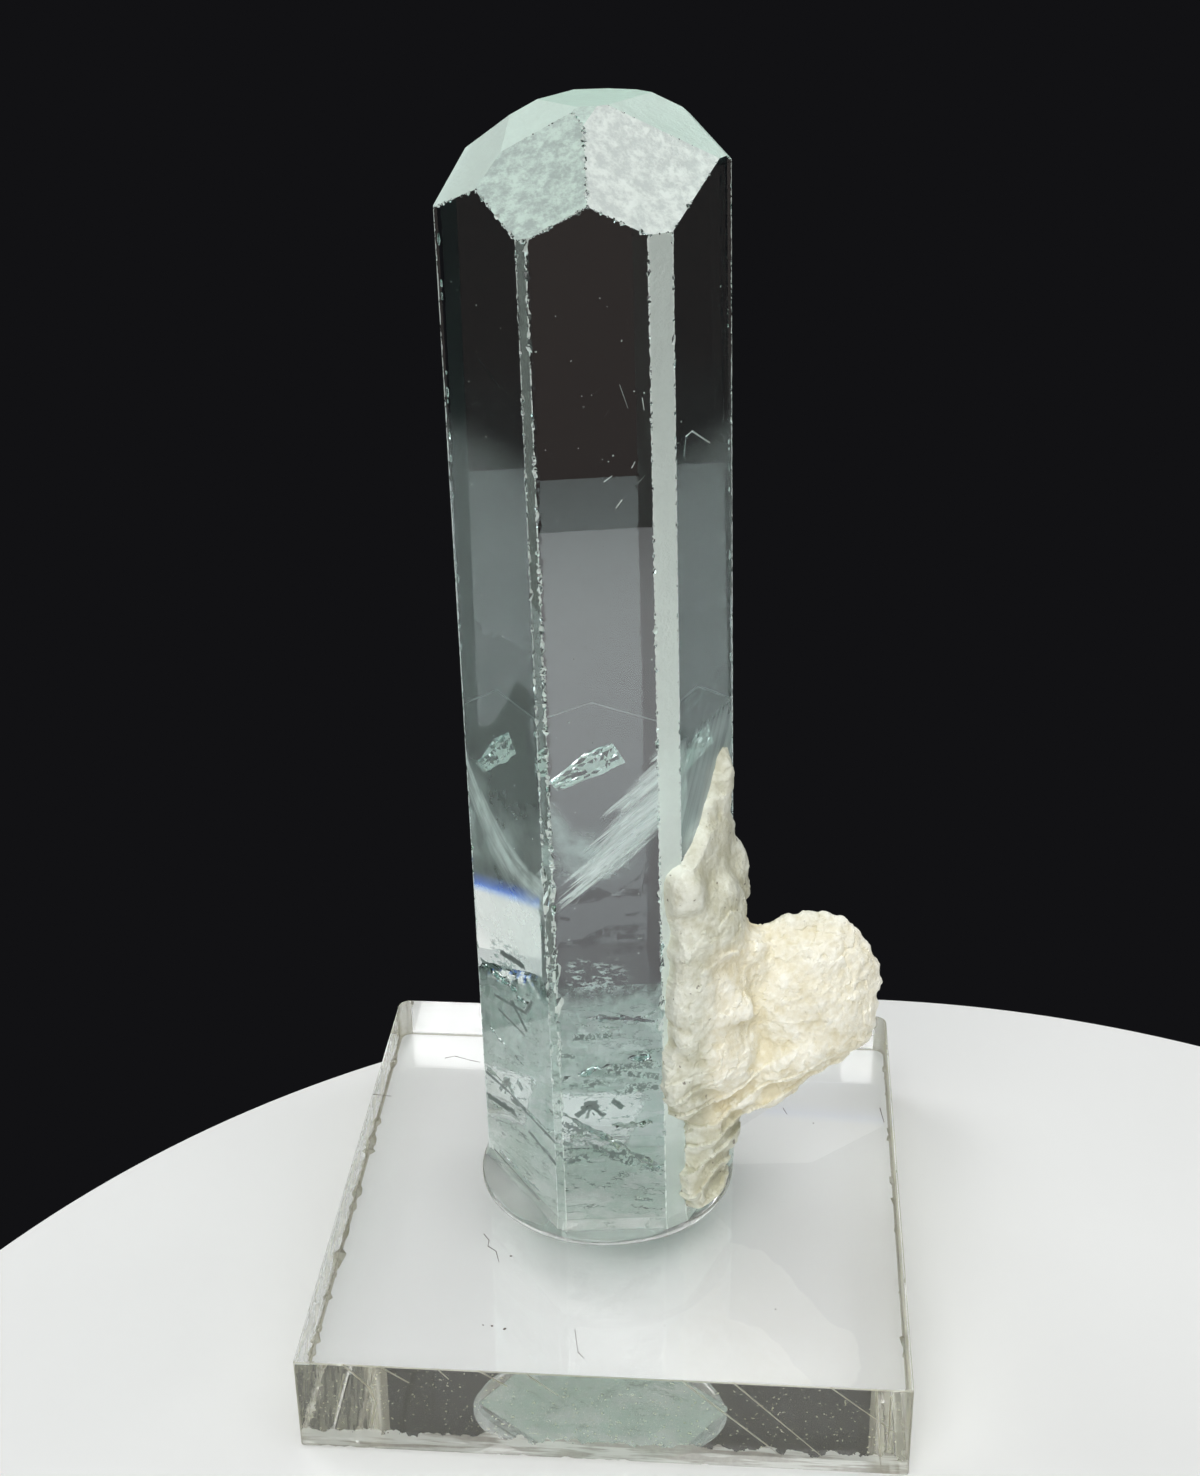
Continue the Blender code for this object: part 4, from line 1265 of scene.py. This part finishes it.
blockValues = {
    "size": Vector((35.0 * mm, 37.0 * mm, 6.35 * mm)),
    "bevel": 0.12 * mm,
    "backCorner": 0.8 * mm,
    # chips: side, lower or upper edge, count, smallest and largest radius in mm
    "chips": [
        ("left", 0.0, 34, 0.25, 0.75),
        ("right", 0.0, 22, 0.2, 0.6),
        ("front", 0.0, 30, 0.15, 0.4),
        ("left", 1.0, 16, 0.12, 0.3),
        ("right", 1.0, 14, 0.12, 0.3),
        ("front", 1.0, 14, 0.06, 0.16),
        ("back", 0.0, 14, 0.15, 0.35),
    ],
    # how far out the chips sit, in radii, and where along an edge they lie, in shares of its length
    "chipLift": 0.45,
    "chipSpan": (-0.47, 0.45),
    "chipFrost": 0.62,
    # grooves on the front wall: x and z of each end in mm, radius in mm
    "grooves": [
        (4.6, 6.3, 10.4, 0.9, 0.07), (7.5, 6.3, 12.7, 1.0, 0.05), (12.9, 6.3, 16.6, 3.2, 0.05),
        (-6.8, 6.3, -5.3, 5.3, 0.07), (-4.2, 6.3, -2.4, 4.8, 0.05), (-12.5, 6.3, -10.9, 5.2, 0.07),
        (-9.2, 6.3, -8.6, 5.6, 0.05), (15.4, 6.2, 15.9, 0.6, 0.08), (16.3, 5.8, 16.2, 1.0, 0.06),
        (-14.6, 6.3, -13.2, 4.7, 0.08), (-13.2, 4.7, -12.9, 3.6, 0.1), (-12.9, 3.6, -13.3, 1.5, 0.09),
        (-14.6, 5.6, -15.4, 2.0, 0.05),
    ],
    "refraction": 1.49,
    # sawn side walls and the front wall, and the film and dust on the front wall
    "sawnFrom": 17.44 * mm,
    "frontTo": -18.44 * mm,
    "frontFilm": 0.07,
    "dustGrain": (5200.0, 2.0, 0.5, 0.66, 0.70),
    "streakGrain": (2400.0, 3.0, 0.6, 0.44, 0.58),
    "cream": (0.96, 0.96, 0.76, 1),
    "deepCream": (0.90, 0.89, 0.64, 1),
    "lowPale": (0.84, 0.86, 0.80, 1),
    "darkGrey": (0.22, 0.19, 0.15, 1),
    "paleGrey": (0.58, 0.55, 0.47, 1),
}


def blockFinish():
    values = blockValues
    finish = Finish("clearAcrylic")
    place = finish.place()
    x, y, z = finish.parts(place)
    chip = finish.attribute("chip")
    ragged = finish.noise(place, 700.0, 4.0, 0.6)
    patches = ragged.fade(0.35, 0.65)
    grain = finish.noise(place, 3000.0, 3.0, 0.6)
    sawn = x.size().above(values["sawnFrom"])
    onFront = 1 - y.above(values["frontTo"])

    patchy = patches * 0.22 + 0.08 + x.above(0.0) * 0.3
    low = sawn * (1 - z.above((ragged * 3.4 - 0.6) * mm)) * grain.fade(0.46, 0.54)
    lowFront = onFront * (1 - z.above((ragged * 2.4 + 0.2) * mm))
    dust = onFront * finish.grain(place, values["dustGrain"]) * 0.5
    frost = (sawn * patchy).atLeast(low * 0.85).atLeast(lowFront * 0.7).atLeast(dust).atLeast(chip)
    frost = frost.atLeast(onFront * values["frontFilm"])

    streaks = finish.grain(finish.join(x * 0.1, y, z * 1.1), values["streakGrain"])
    cream = finish.blend(patches, values["cream"], values["deepCream"])
    cream = finish.blend(lowFront, cream, values["lowPale"])
    grey = finish.blend(grain, values["darkGrey"], values["paleGrey"])
    colour = finish.blend(chip.atLeast(low).atLeast(lowFront * streaks * 0.8), cream, grey)
    clear = finish.clear(values["refraction"])
    matte = finish.shader(Base_Color=colour, Roughness=0.5, IOR=values["refraction"],
                          Transmission_Weight=0.2)
    matte = finish.mixShaders(0.4, matte, finish.translucent(colour))
    finish.surface(finish.mixShaders(frost.clamped(), clear, matte))
    return finish


def blockChips(rng):
    values = blockValues
    width, depth, height = values["size"]
    bm = bmesh.new()
    for side, level, count, smallest, largest in values["chips"]:
        for _ in range(count):
            radius = chipRadius(smallest, largest, rng, 1.6)
            lift = radius * values["chipLift"]
            tall = height * level + (lift if level else -lift)
            run = rng.uniform(*values["chipSpan"])
            centre = {
                "left": Vector((-width / 2 - lift, run * depth, tall)),
                "right": Vector((width / 2 + lift, run * depth, tall)),
                "front": Vector((run * width, -depth / 2 - lift, tall)),
                "back": Vector((run * width, depth / 2 + lift, tall)),
            }[side]
            long = (1.6, 1.0) if side in ("front", "back") else (1.0, 1.6)
            radii = (radius * long[0], radius * long[1], radius)
            addBall(bm, centre, radii, (0, 0, rng.uniform(-0.3, 0.3)), rng, 0.2, 2)
    return bm


def makeBlock():
    values = blockValues
    width, depth, height = values["size"]
    bm = bmesh.new()
    bmesh.ops.create_cube(bm, size=1.0)
    bmesh.ops.scale(bm, vec=(width, depth, height), verts=bm.verts)
    bmesh.ops.translate(bm, vec=(0.0, 0.0, height / 2), verts=bm.verts)
    corners = [edge for edge in bm.edges
               if all(vert.co.y > 0.0 for vert in edge.verts)
               and abs(edge.verts[0].co.z - edge.verts[1].co.z) > height / 2]
    bmesh.ops.bevel(bm, geom=corners, offset=values["backCorner"], offset_type="OFFSET",
                    segments=8, profile=0.5, affect="EDGES")
    block = pieceFrom("acrylicBlock", bm, blockFinish())
    bevel = block.modifiers.new("edges", "BEVEL")
    bevel.width = values["bevel"]
    bevel.segments = 2
    bevel.limit_method = "ANGLE"
    bevel.angle_limit = math.radians(60.0)
    settle(block)
    rng = random.Random(8)
    chips = blockChips(rng)
    front = -depth / 2
    for startX, startZ, endX, endZ, radius in values["grooves"]:
        ends = [Vector((x * mm, front, z * mm)) for x, z in ((startX, startZ), (endX, endZ))]
        addRods(chips, ends, radius * mm)
    cutAway(block, pieceFrom("blockChips", chips, None), True)
    markChips(block)
    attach(block, "root")
    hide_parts("clear_base")
    print("block made,", len(block.data.polygons), "faces")


def markChips(block):
    # faces that lie on a wall or on a worn edge stay clear, any other one is a chip
    values = blockValues
    width, depth, height = values["size"]
    marks = []
    for face in block.data.polygons:
        straight = max(abs(value) for value in face.normal) > 0.9995
        centre = face.center
        gaps = (width / 2 - abs(centre.x), depth / 2 - abs(centre.y), height - centre.z, centre.z)
        onWall = straight and min(gaps) < flushWithin
        onEdge = sorted(gaps)[1] < values["bevel"] * 1.2 and face.area > 1.0 * mm * mm
        marks.append(0.0 if onWall or onEdge else values["chipFrost"])
    layer = block.data.attributes.new("chip", "FLOAT", "FACE")
    layer.data.foreach_set("value", marks)


feldsparValues = {
    # cell of its fine mesh, and how it is pressed onto the crystal: depth, reach and fade
    "voxel": 0.13 * mm,
    "sink": 0.04 * mm,
    "contactReach": 0.75 * mm,
    "contactFade": 0.35 * mm,
    # relief, in mm: size, height and offset of each wave, and size and height of each cleavage
    "waves": [(2.1 * mm, 0.16, (0, 0, 0)), (0.9 * mm, 0.08, (4, 2, 9)), (0.35 * mm, 0.05, (5, 5, 1))],
    "cleavages": [(1.7 * mm, 0.17), (0.75 * mm, 0.12)],
    # the spike is smoother from here up
    "spikeFrom": 27.5 * mm,
    "spikeFade": 2.0 * mm,
    # slanted ledges of the foot, and rays from the root of the fan
    "ledgesBelow": 19.0 * mm,
    "ledgeFade": 3.5 * mm,
    "ledgeDirection": Vector((-0.5, 0.1, 0.85)).normalized(),
    "ledgeGap": 1.25 * mm,
    "ledgeWave": 2.5 * mm,
    "ledgeHeight": 0.22,
    "fanRoot": Vector((7.9, -1.9, 20.2)) * mm,
    "raysFrom": 8.6 * mm,
    "raysAbove": 15.0 * mm,
    "rayLength": 6.0 * mm,
    "rayHeight": 0.05,
    # rounds of smoothing everywhere and on the rounded rim, and how a hollow is measured for the painted
    # shade in it
    "smoothing": (("soft", 10), ("rounded", 70)),
    "hollowRounds": 14,
    "hollowDepth": 0.16 * mm,
    # the fan's right rim is smooth: where that starts, in x and z, and towards where
    "roundedFrom": Vector((12.2, 21.5)) * mm,
    "roundedTowards": Vector((0.94, -0.34)),
    "roundedFade": 2.0 * mm,
    # colours, each from raised to hollow with painted shade in the hollows: a painted lit copy on the fan
    # and a painted shaded copy elsewhere, over the feldspar's own cream and tan tone; where the painted
    # light on the fan is, and where painted shade darkens the lower part
    "paintedLitColours": ((0.96, 0.95, 0.84, 1), (0.76, 0.70, 0.50, 1)),
    "paintedShadedColours": ((0.80, 0.82, 0.72, 1), (0.54, 0.53, 0.39, 1)),
    "fleck": (0.16, 0.14, 0.10, 1),
    "paintedLitFrom": (4.8 * mm, 6.4 * mm),
    "paintedLitHeights": (12.4 * mm, 14.4 * mm, 25.0 * mm, 27.0 * mm),
    "paintedShadeBelow": (11.0 * mm, 19.0 * mm),
    "patchGrain": (330.0, 4.0, 0.6, 0.38, 0.62),
    "fleckGrain": (1900.0, 2.0, 0.5, 0.69, 0.72),
}


def cleavage(point, size):
    # every cell has its own slanted plane, so steps appear between cells
    _, nearest = noise.voronoi(point / size)
    slope = noise.noise_vector(nearest[0] * 7.3)
    return (point / size - nearest[0]).dot(slope)


def feldsparRelief(point):
    # waves and cleavage steps, ledges low down, and rays on the fan
    values = feldsparValues
    relief = sum(height * noise.noise(point / size + Vector(offset))
                 for size, height, offset in values["waves"])
    relief += sum(height * cleavage(point, size) for size, height in values["cleavages"])
    relief *= 1.0 - 0.7 * limited((point.z - values["spikeFrom"]) / values["spikeFade"])
    low = limited((values["ledgesBelow"] - point.z) / values["ledgeFade"])
    level = point.dot(values["ledgeDirection"]) / values["ledgeGap"]
    level += 0.5 * noise.noise(point / values["ledgeWave"])
    relief += low * values["ledgeHeight"] * (level - math.floor(level) - 0.5)
    reach = point - values["fanRoot"]
    if point.x > values["raysFrom"] and point.z > values["raysAbove"]:
        angle = math.atan2(reach.z, reach.x)
        rays = abs(noise.noise(Vector((angle * 9.0, reach.length / values["rayLength"], 2.0))))
        relief += values["rayHeight"] * (0.35 - rays)
    return relief * mm


def feldsparFinish():
    values = feldsparValues
    finish = Finish("creamFeldspar")
    place = finish.place()
    x, _, z = finish.parts(place)
    grain = finish.noise(place, 2600.0, 5.0, 0.6)
    patches = finish.grain(place, values["patchGrain"])
    # painted light on the fan, painted shade on the rest, low down and in hollows
    paintedLitFan = x.fade(*values["paintedLitFrom"]) * z.within(*values["paintedLitHeights"])
    below = 1 - z.fade(*values["paintedShadeBelow"])
    tone = finish.attribute("hollow") * 0.8 + (grain - 0.5) * 1.2 + (patches - 0.5) * 0.4
    tone = (tone + below * 0.25 + 0.2).clamped()
    paintedLitColours = finish.blend(tone, *values["paintedLitColours"])
    paintedShadedColours = finish.blend(tone, *values["paintedShadedColours"])
    colour = finish.blend(paintedLitFan, paintedShadedColours, paintedLitColours)
    fleck = finish.grain(place, values["fleckGrain"]) * (1 - paintedLitFan * 0.8)
    colour = finish.blend(fleck * 0.8, colour, values["fleck"])
    bump = finish.bump(0.6, 0.2 * mm, grain)
    finish.surface(finish.shader(Base_Color=colour, Roughness=0.34 + grain * 0.3, Normal=bump, IOR=1.53))
    return finish


def makeFeldspar():
    # starts from the solid's own shape, made finer and pressed onto the crystal
    values = feldsparValues
    planes = crystalPlanes()
    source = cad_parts["feldspar_matrix"]
    mesh = source.data.copy()
    mesh.materials.clear()
    rock = bpy.data.objects.new("feldsparGrowth", mesh)
    bpy.context.scene.collection.objects.link(rock)
    remesh = rock.modifiers.new("fine", "REMESH")
    remesh.mode = "VOXEL"
    remesh.voxel_size = values["voxel"]
    settle(rock)
    rounded = rock.vertex_groups.new(name="rounded")
    for vert in rock.data.vertices:
        flat = Vector((vert.co.x, vert.co.z)) - values["roundedFrom"]
        share = limited(flat.dot(values["roundedTowards"]) / values["roundedFade"])
        rounded.add([vert.index], share, "REPLACE")
    for name, iterations in values["smoothing"]:
        smooth = rock.modifiers.new(name, "SMOOTH")
        smooth.factor = 0.5
        smooth.iterations = iterations
        smooth.vertex_group = name if name == "rounded" else ""
    settle(rock)
    bm = bmesh.new()
    bm.from_mesh(rock.data)
    bm.normal_update()
    moved = []
    for vert in bm.verts:
        point = vert.co + vert.normal * feldsparRelief(vert.co)
        out, facing = outsideBy(point, planes)
        if point.z > crystalValues["footPoint"].z and out < values["contactReach"]:
            pull = limited((values["contactReach"] - out) / values["contactFade"])
            point -= facing * (out + values["sink"]) * pull
        moved.append(point)
    for vert, point in zip(bm.verts, moved):
        vert.co = point
    hollow = hollowness(bm)
    bm.to_mesh(rock.data)
    bm.free()
    # the hollow measure drives the painted shade in the finish
    layer = rock.data.attributes.new("hollow", "FLOAT", "POINT")
    layer.data.foreach_set("value", hollow)
    rock.data.materials.append(feldsparFinish().material)
    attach(rock, "root")
    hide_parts("feldspar_matrix")
    print("feldspar made,", len(rock.data.polygons), "faces")


def hollowness(bm):
    # how far each point lies under the mean of its surroundings, 0.5 on a flat
    bm.verts.ensure_lookup_table()
    around = [[edge.other_vert(vert).index for edge in vert.link_edges] for vert in bm.verts]
    means = [vert.co.copy() for vert in bm.verts]
    for _ in range(feldsparValues["hollowRounds"]):
        means = [sum((means[near] for near in ring), Vector()) / len(ring) for ring in around]
    bm.normal_update()
    return [limited(0.5 + (mean - vert.co).dot(vert.normal) / feldsparValues["hollowDepth"])
            for vert, mean in zip(bm.verts, means)]


dirtValues = {
    "colour": (0.12, 0.10, 0.08, 1),
    "height": 6.36 * mm,
    # hairs: radius, then points on the block's top, and crumbs: place and size, in mm
    "hairs": [
        (0.028, [(-8.06, -6.85), (-7.68, -7.39), (-7.68, -7.94), (-7.13, -8.37), (-6.83, -9.35)]),
        (0.022, [(-1.73, -14.9), (-1.4, -16.68), (-1.01, -17.13)]),
        (0.022, [(-13.16, 11.45), (-12.5, 11.73), (-11.4, 11.31), (-10.67, 11.12)]),
        (0.03, [(-17.4, 6.98), (-16.16, 6.84)]),
        (0.025, [(10.21, 7.12), (10.47, 6.47)]),
        (0.03, [(16.64, 7.51), (16.84, 5.99)]),
    ],
    "crumbs": [(-6.17, -8.76, 0.1), (-7.09, -14.83, 0.07), (-6.55, -14.88, 0.09), (-5.8, -15.05, 0.11),
               (12.2, 5.6, 0.06), (3.4, -14.2, 0.05), (9.8, -12.4, 0.05)],
}


def makeDirt():
    values = dirtValues
    finish = Finish("dirt")
    finish.surface(finish.shader(Base_Color=values["colour"], Roughness=0.8))
    bm = bmesh.new()
    rng = random.Random(4)
    for width, line in values["hairs"]:
        addRods(bm, [Vector((x * mm, y * mm, values["height"])) for x, y in line], width * mm)
    for x, y, size in values["crumbs"]:
        centre = Vector((x * mm, y * mm, values["height"]))
        addBall(bm, centre, (size * mm, size * 0.7 * mm, size * 0.4 * mm), (0, 0, x), rng, 0.3)
    dirt = pieceFrom("dirtMarks", bm, finish)
    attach(dirt, "root")
    print("dirt made")


stageValues = {
    "discCentre": (16.4 * mm, -35.8 * mm),
    "discRadius": 66.07 * mm,
    "discThickness": 3.0 * mm,
    "airGap": 0.05 * mm,
    "discColour": (0.775, 0.785, 0.775, 1),
    "background": (0.006, 0.006, 0.007, 1),
    "lights": [
        # name, place in metres, aimed at, width and height, watts, colour
        ("overhead", (0.06, -0.06, 0.42), (0.03, -0.02, 0.0), (0.45, 0.45), 1.22, (1, 1, 1)),
        ("backFill", (-0.28, 0.17, 0.25), (0.0, 0.0, 0.02), (0.2, 0.2), 0.48, (1, 1, 1)),
        ("backRight", (0.28, 0.17, 0.25), (0.0, 0.0, 0.02), (0.2, 0.2), 0.30, (1, 1, 1)),
        ("frontLow", (0.012, -0.17, 0.07), (0.0, 0.0, 0.02), (0.1, 0.06), 0.045, (1, 1, 1)),
        ("rightFill", (0.25, -0.17, 0.13), (0.0, 0.0, 0.03), (0.12, 0.12), 0.07, (1, 1, 1)),
        ("frontSoft", (-0.08, -0.33, 0.34), (0.0, 0.0, 0.03), (0.3, 0.3), 0.95, (1, 1, 1)),
        ("brownWall", (0.04, -0.36, 0.01), (0.04, 0.0, 0.01), (0.3, 0.2), 0.05, (1.0, 0.76, 0.68)),
    ],
    # lamps that leave no mirror image, and the one that clear faces don't show either
    "noReflection": ("backFill", "backRight", "rightFill", "frontLow"),
    "notThroughClear": ("frontLow",),
    # glowing card that leans in front, out of the frame: its far and near edge, width and glow
    "cardFar": Vector((0.012, -0.100, 0.023)),
    "cardNear": Vector((0.012, -0.036, 0.001)),
    "cardWidth": 0.05,
    "cardGlow": [(0.0, (1.85, 1.85, 1.87)), (0.2, (2.7, 2.7, 2.72)), (0.5, (2.85, 2.8, 2.86)),
                 (0.75, (2.3, 2.28, 2.34)), (1.0, (1.75, 1.72, 1.78))],
    # small glowing card behind, seen only through clear faces: corners, then its blue upper fringe
    "rearCorners": [Vector((3.0, 15.8, 12.0)) * mm, Vector((12.6, 16.7, 12.0)) * mm,
                    Vector((21.4, 24.2, 12.0)) * mm, Vector((11.0, 24.5, 12.0)) * mm],
    "fringeAt": Vector((11.1, 22.5, 12.0)) * mm,
    "fringeAcross": Vector((0.06, 0.998, 0.0)),
    "fringeReach": 2.0 * mm,
    "rearGlow": [(0.0, (1.05, 1.04, 1.01)), (0.26, (1.05, 1.04, 1.02)), (0.40, (0.55, 0.70, 1.1)),
                 (0.50, (0.10, 0.24, 0.85)), (0.62, (0.03, 0.09, 0.42)), (0.85, (0.006, 0.007, 0.02)),
                 (1.0, (0.006, 0.006, 0.007))],
}


def makeCard(name, corners, origin, direction, stops, onlyThrough=False):
    # a flat card whose glow follows a colour ramp along one direction
    bm = bmesh.new()
    bm.faces.new([bm.verts.new(corner) for corner in corners])
    finish = Finish(name + "Glow")
    reach = direction.length
    share = (finish.along(finish.place(), tuple(direction / reach)) - origin.dot(direction) / reach) / reach
    glow = finish.node("ShaderNodeValToRGB", {"stops": stops}, {0: share})
    finish.surface(finish.node("ShaderNodeEmission", None, {"Color": glow}))
    card = pieceFrom(name, bm, finish)
    card.visible_camera = False
    card.visible_shadow = False
    card.visible_diffuse = False
    if onlyThrough:
        card.visible_glossy = False
        card.visible_volume_scatter = False


def makeCards():
    values = stageValues
    far, near = values["cardFar"], values["cardNear"]
    side = Vector((values["cardWidth"] / 2, 0.0, 0.0))
    down = near - far
    down.x = 0.0
    down.z = 0.0
    makeCard("frontCard", (near - side, near + side, far + side, far - side), far, down, values["cardGlow"])
    reach = values["fringeAcross"] * values["fringeReach"] * 2
    start = values["fringeAt"] - reach / 2
    makeCard("rearCard", values["rearCorners"], start, reach, values["rearGlow"], True)


def makeStage():
    values = stageValues
    bm = bmesh.new()
    bmesh.ops.create_cone(bm, cap_ends=True, segments=256, radius1=values["discRadius"],
                          radius2=values["discRadius"], depth=values["discThickness"])
    drop = -values["airGap"] - values["discThickness"] / 2
    bmesh.ops.translate(bm, vec=(*values["discCentre"], drop), verts=bm.verts)
    finish = Finish("paleFloor")
    finish.surface(finish.shader(Base_Color=values["discColour"], Roughness=0.5))
    floor = pieceFrom("floorDisc", bm, finish)
    makeLights()
    makeCards()
    print("stage made")


def makeLights():
    values = stageValues
    world = bpy.data.worlds.new("studio")
    world.use_nodes = True
    world.node_tree.nodes["Background"].inputs["Color"].default_value = values["background"]
    bpy.context.scene.world = world
    for name, where, target, size, watts, colour in values["lights"]:
        lamp = bpy.data.lights.new(name, "AREA")
        lamp.shape = "RECTANGLE"
        lamp.size = size[0]
        lamp.size_y = size[1]
        lamp.energy = watts
        lamp.color = colour
        holder = bpy.data.objects.new(name, lamp)
        holder.location = where
        holder.rotation_euler = (Vector(target) - Vector(where)).to_track_quat("-Z", "Y").to_euler()
        holder.visible_glossy = name not in values["noReflection"]
        holder.visible_transmission = name not in values["notThroughClear"]
        bpy.context.scene.collection.objects.link(holder)


cameraValues = {
    "place": Vector((8.204 * mm, -107.5025 * mm, 90.65 * mm)),
    "yaw": -0.0859,
    "pitch": 0.4588,
    "roll": -0.0148,
    "lens": 51.067,
    "sensor": 36.0,
    "shiftUp": -0.0023,
}


def makeCamera():
    values = cameraValues
    yaw, pitch, roll = values["yaw"], values["pitch"], values["roll"]
    ahead = Vector((math.sin(yaw) * math.cos(pitch), math.cos(yaw) * math.cos(pitch), -math.sin(pitch)))
    right = Vector((math.cos(yaw), -math.sin(yaw), 0.0))
    up = right.cross(ahead)
    turnedRight = math.cos(roll) * right + math.sin(roll) * up
    turnedUp = math.cos(roll) * up - math.sin(roll) * right
    lens = bpy.data.cameras.new("camera")
    lens.lens = values["lens"]
    lens.sensor_fit = "VERTICAL"
    lens.sensor_height = values["sensor"]
    lens.shift_y = values["shiftUp"]
    lens.clip_start = 0.005
    camera = bpy.data.objects.new("camera", lens)
    axes = Matrix((turnedRight, turnedUp, -ahead)).transposed().to_4x4()
    camera.matrix_world = Matrix.Translation(values["place"]) @ axes
    bpy.context.scene.collection.objects.link(camera)
    bpy.context.scene.camera = camera


lookValues = {
    # settings of the renderer: light passes many clear walls before it is lost
    "use_denoising": True,
    "blur_glossy": 0.0,
    "max_bounces": 16,
    "transmission_bounces": 16,
    "glossy_bounces": 12,
    "transparent_max_bounces": 24,
    "caustics_refractive": True,
    "caustics_reflective": True,
}


def setLook():
    scene = bpy.context.scene
    scene.view_settings.view_transform = "Standard"
    for name, value in lookValues.items():
        setattr(scene.cycles, name, value)


makeCamera()
makeStage()
makeCrystal()
makeMilkyVeil()
makeGlue()
makeBlock()
makeFeldspar()
makeDirt()
setLook()
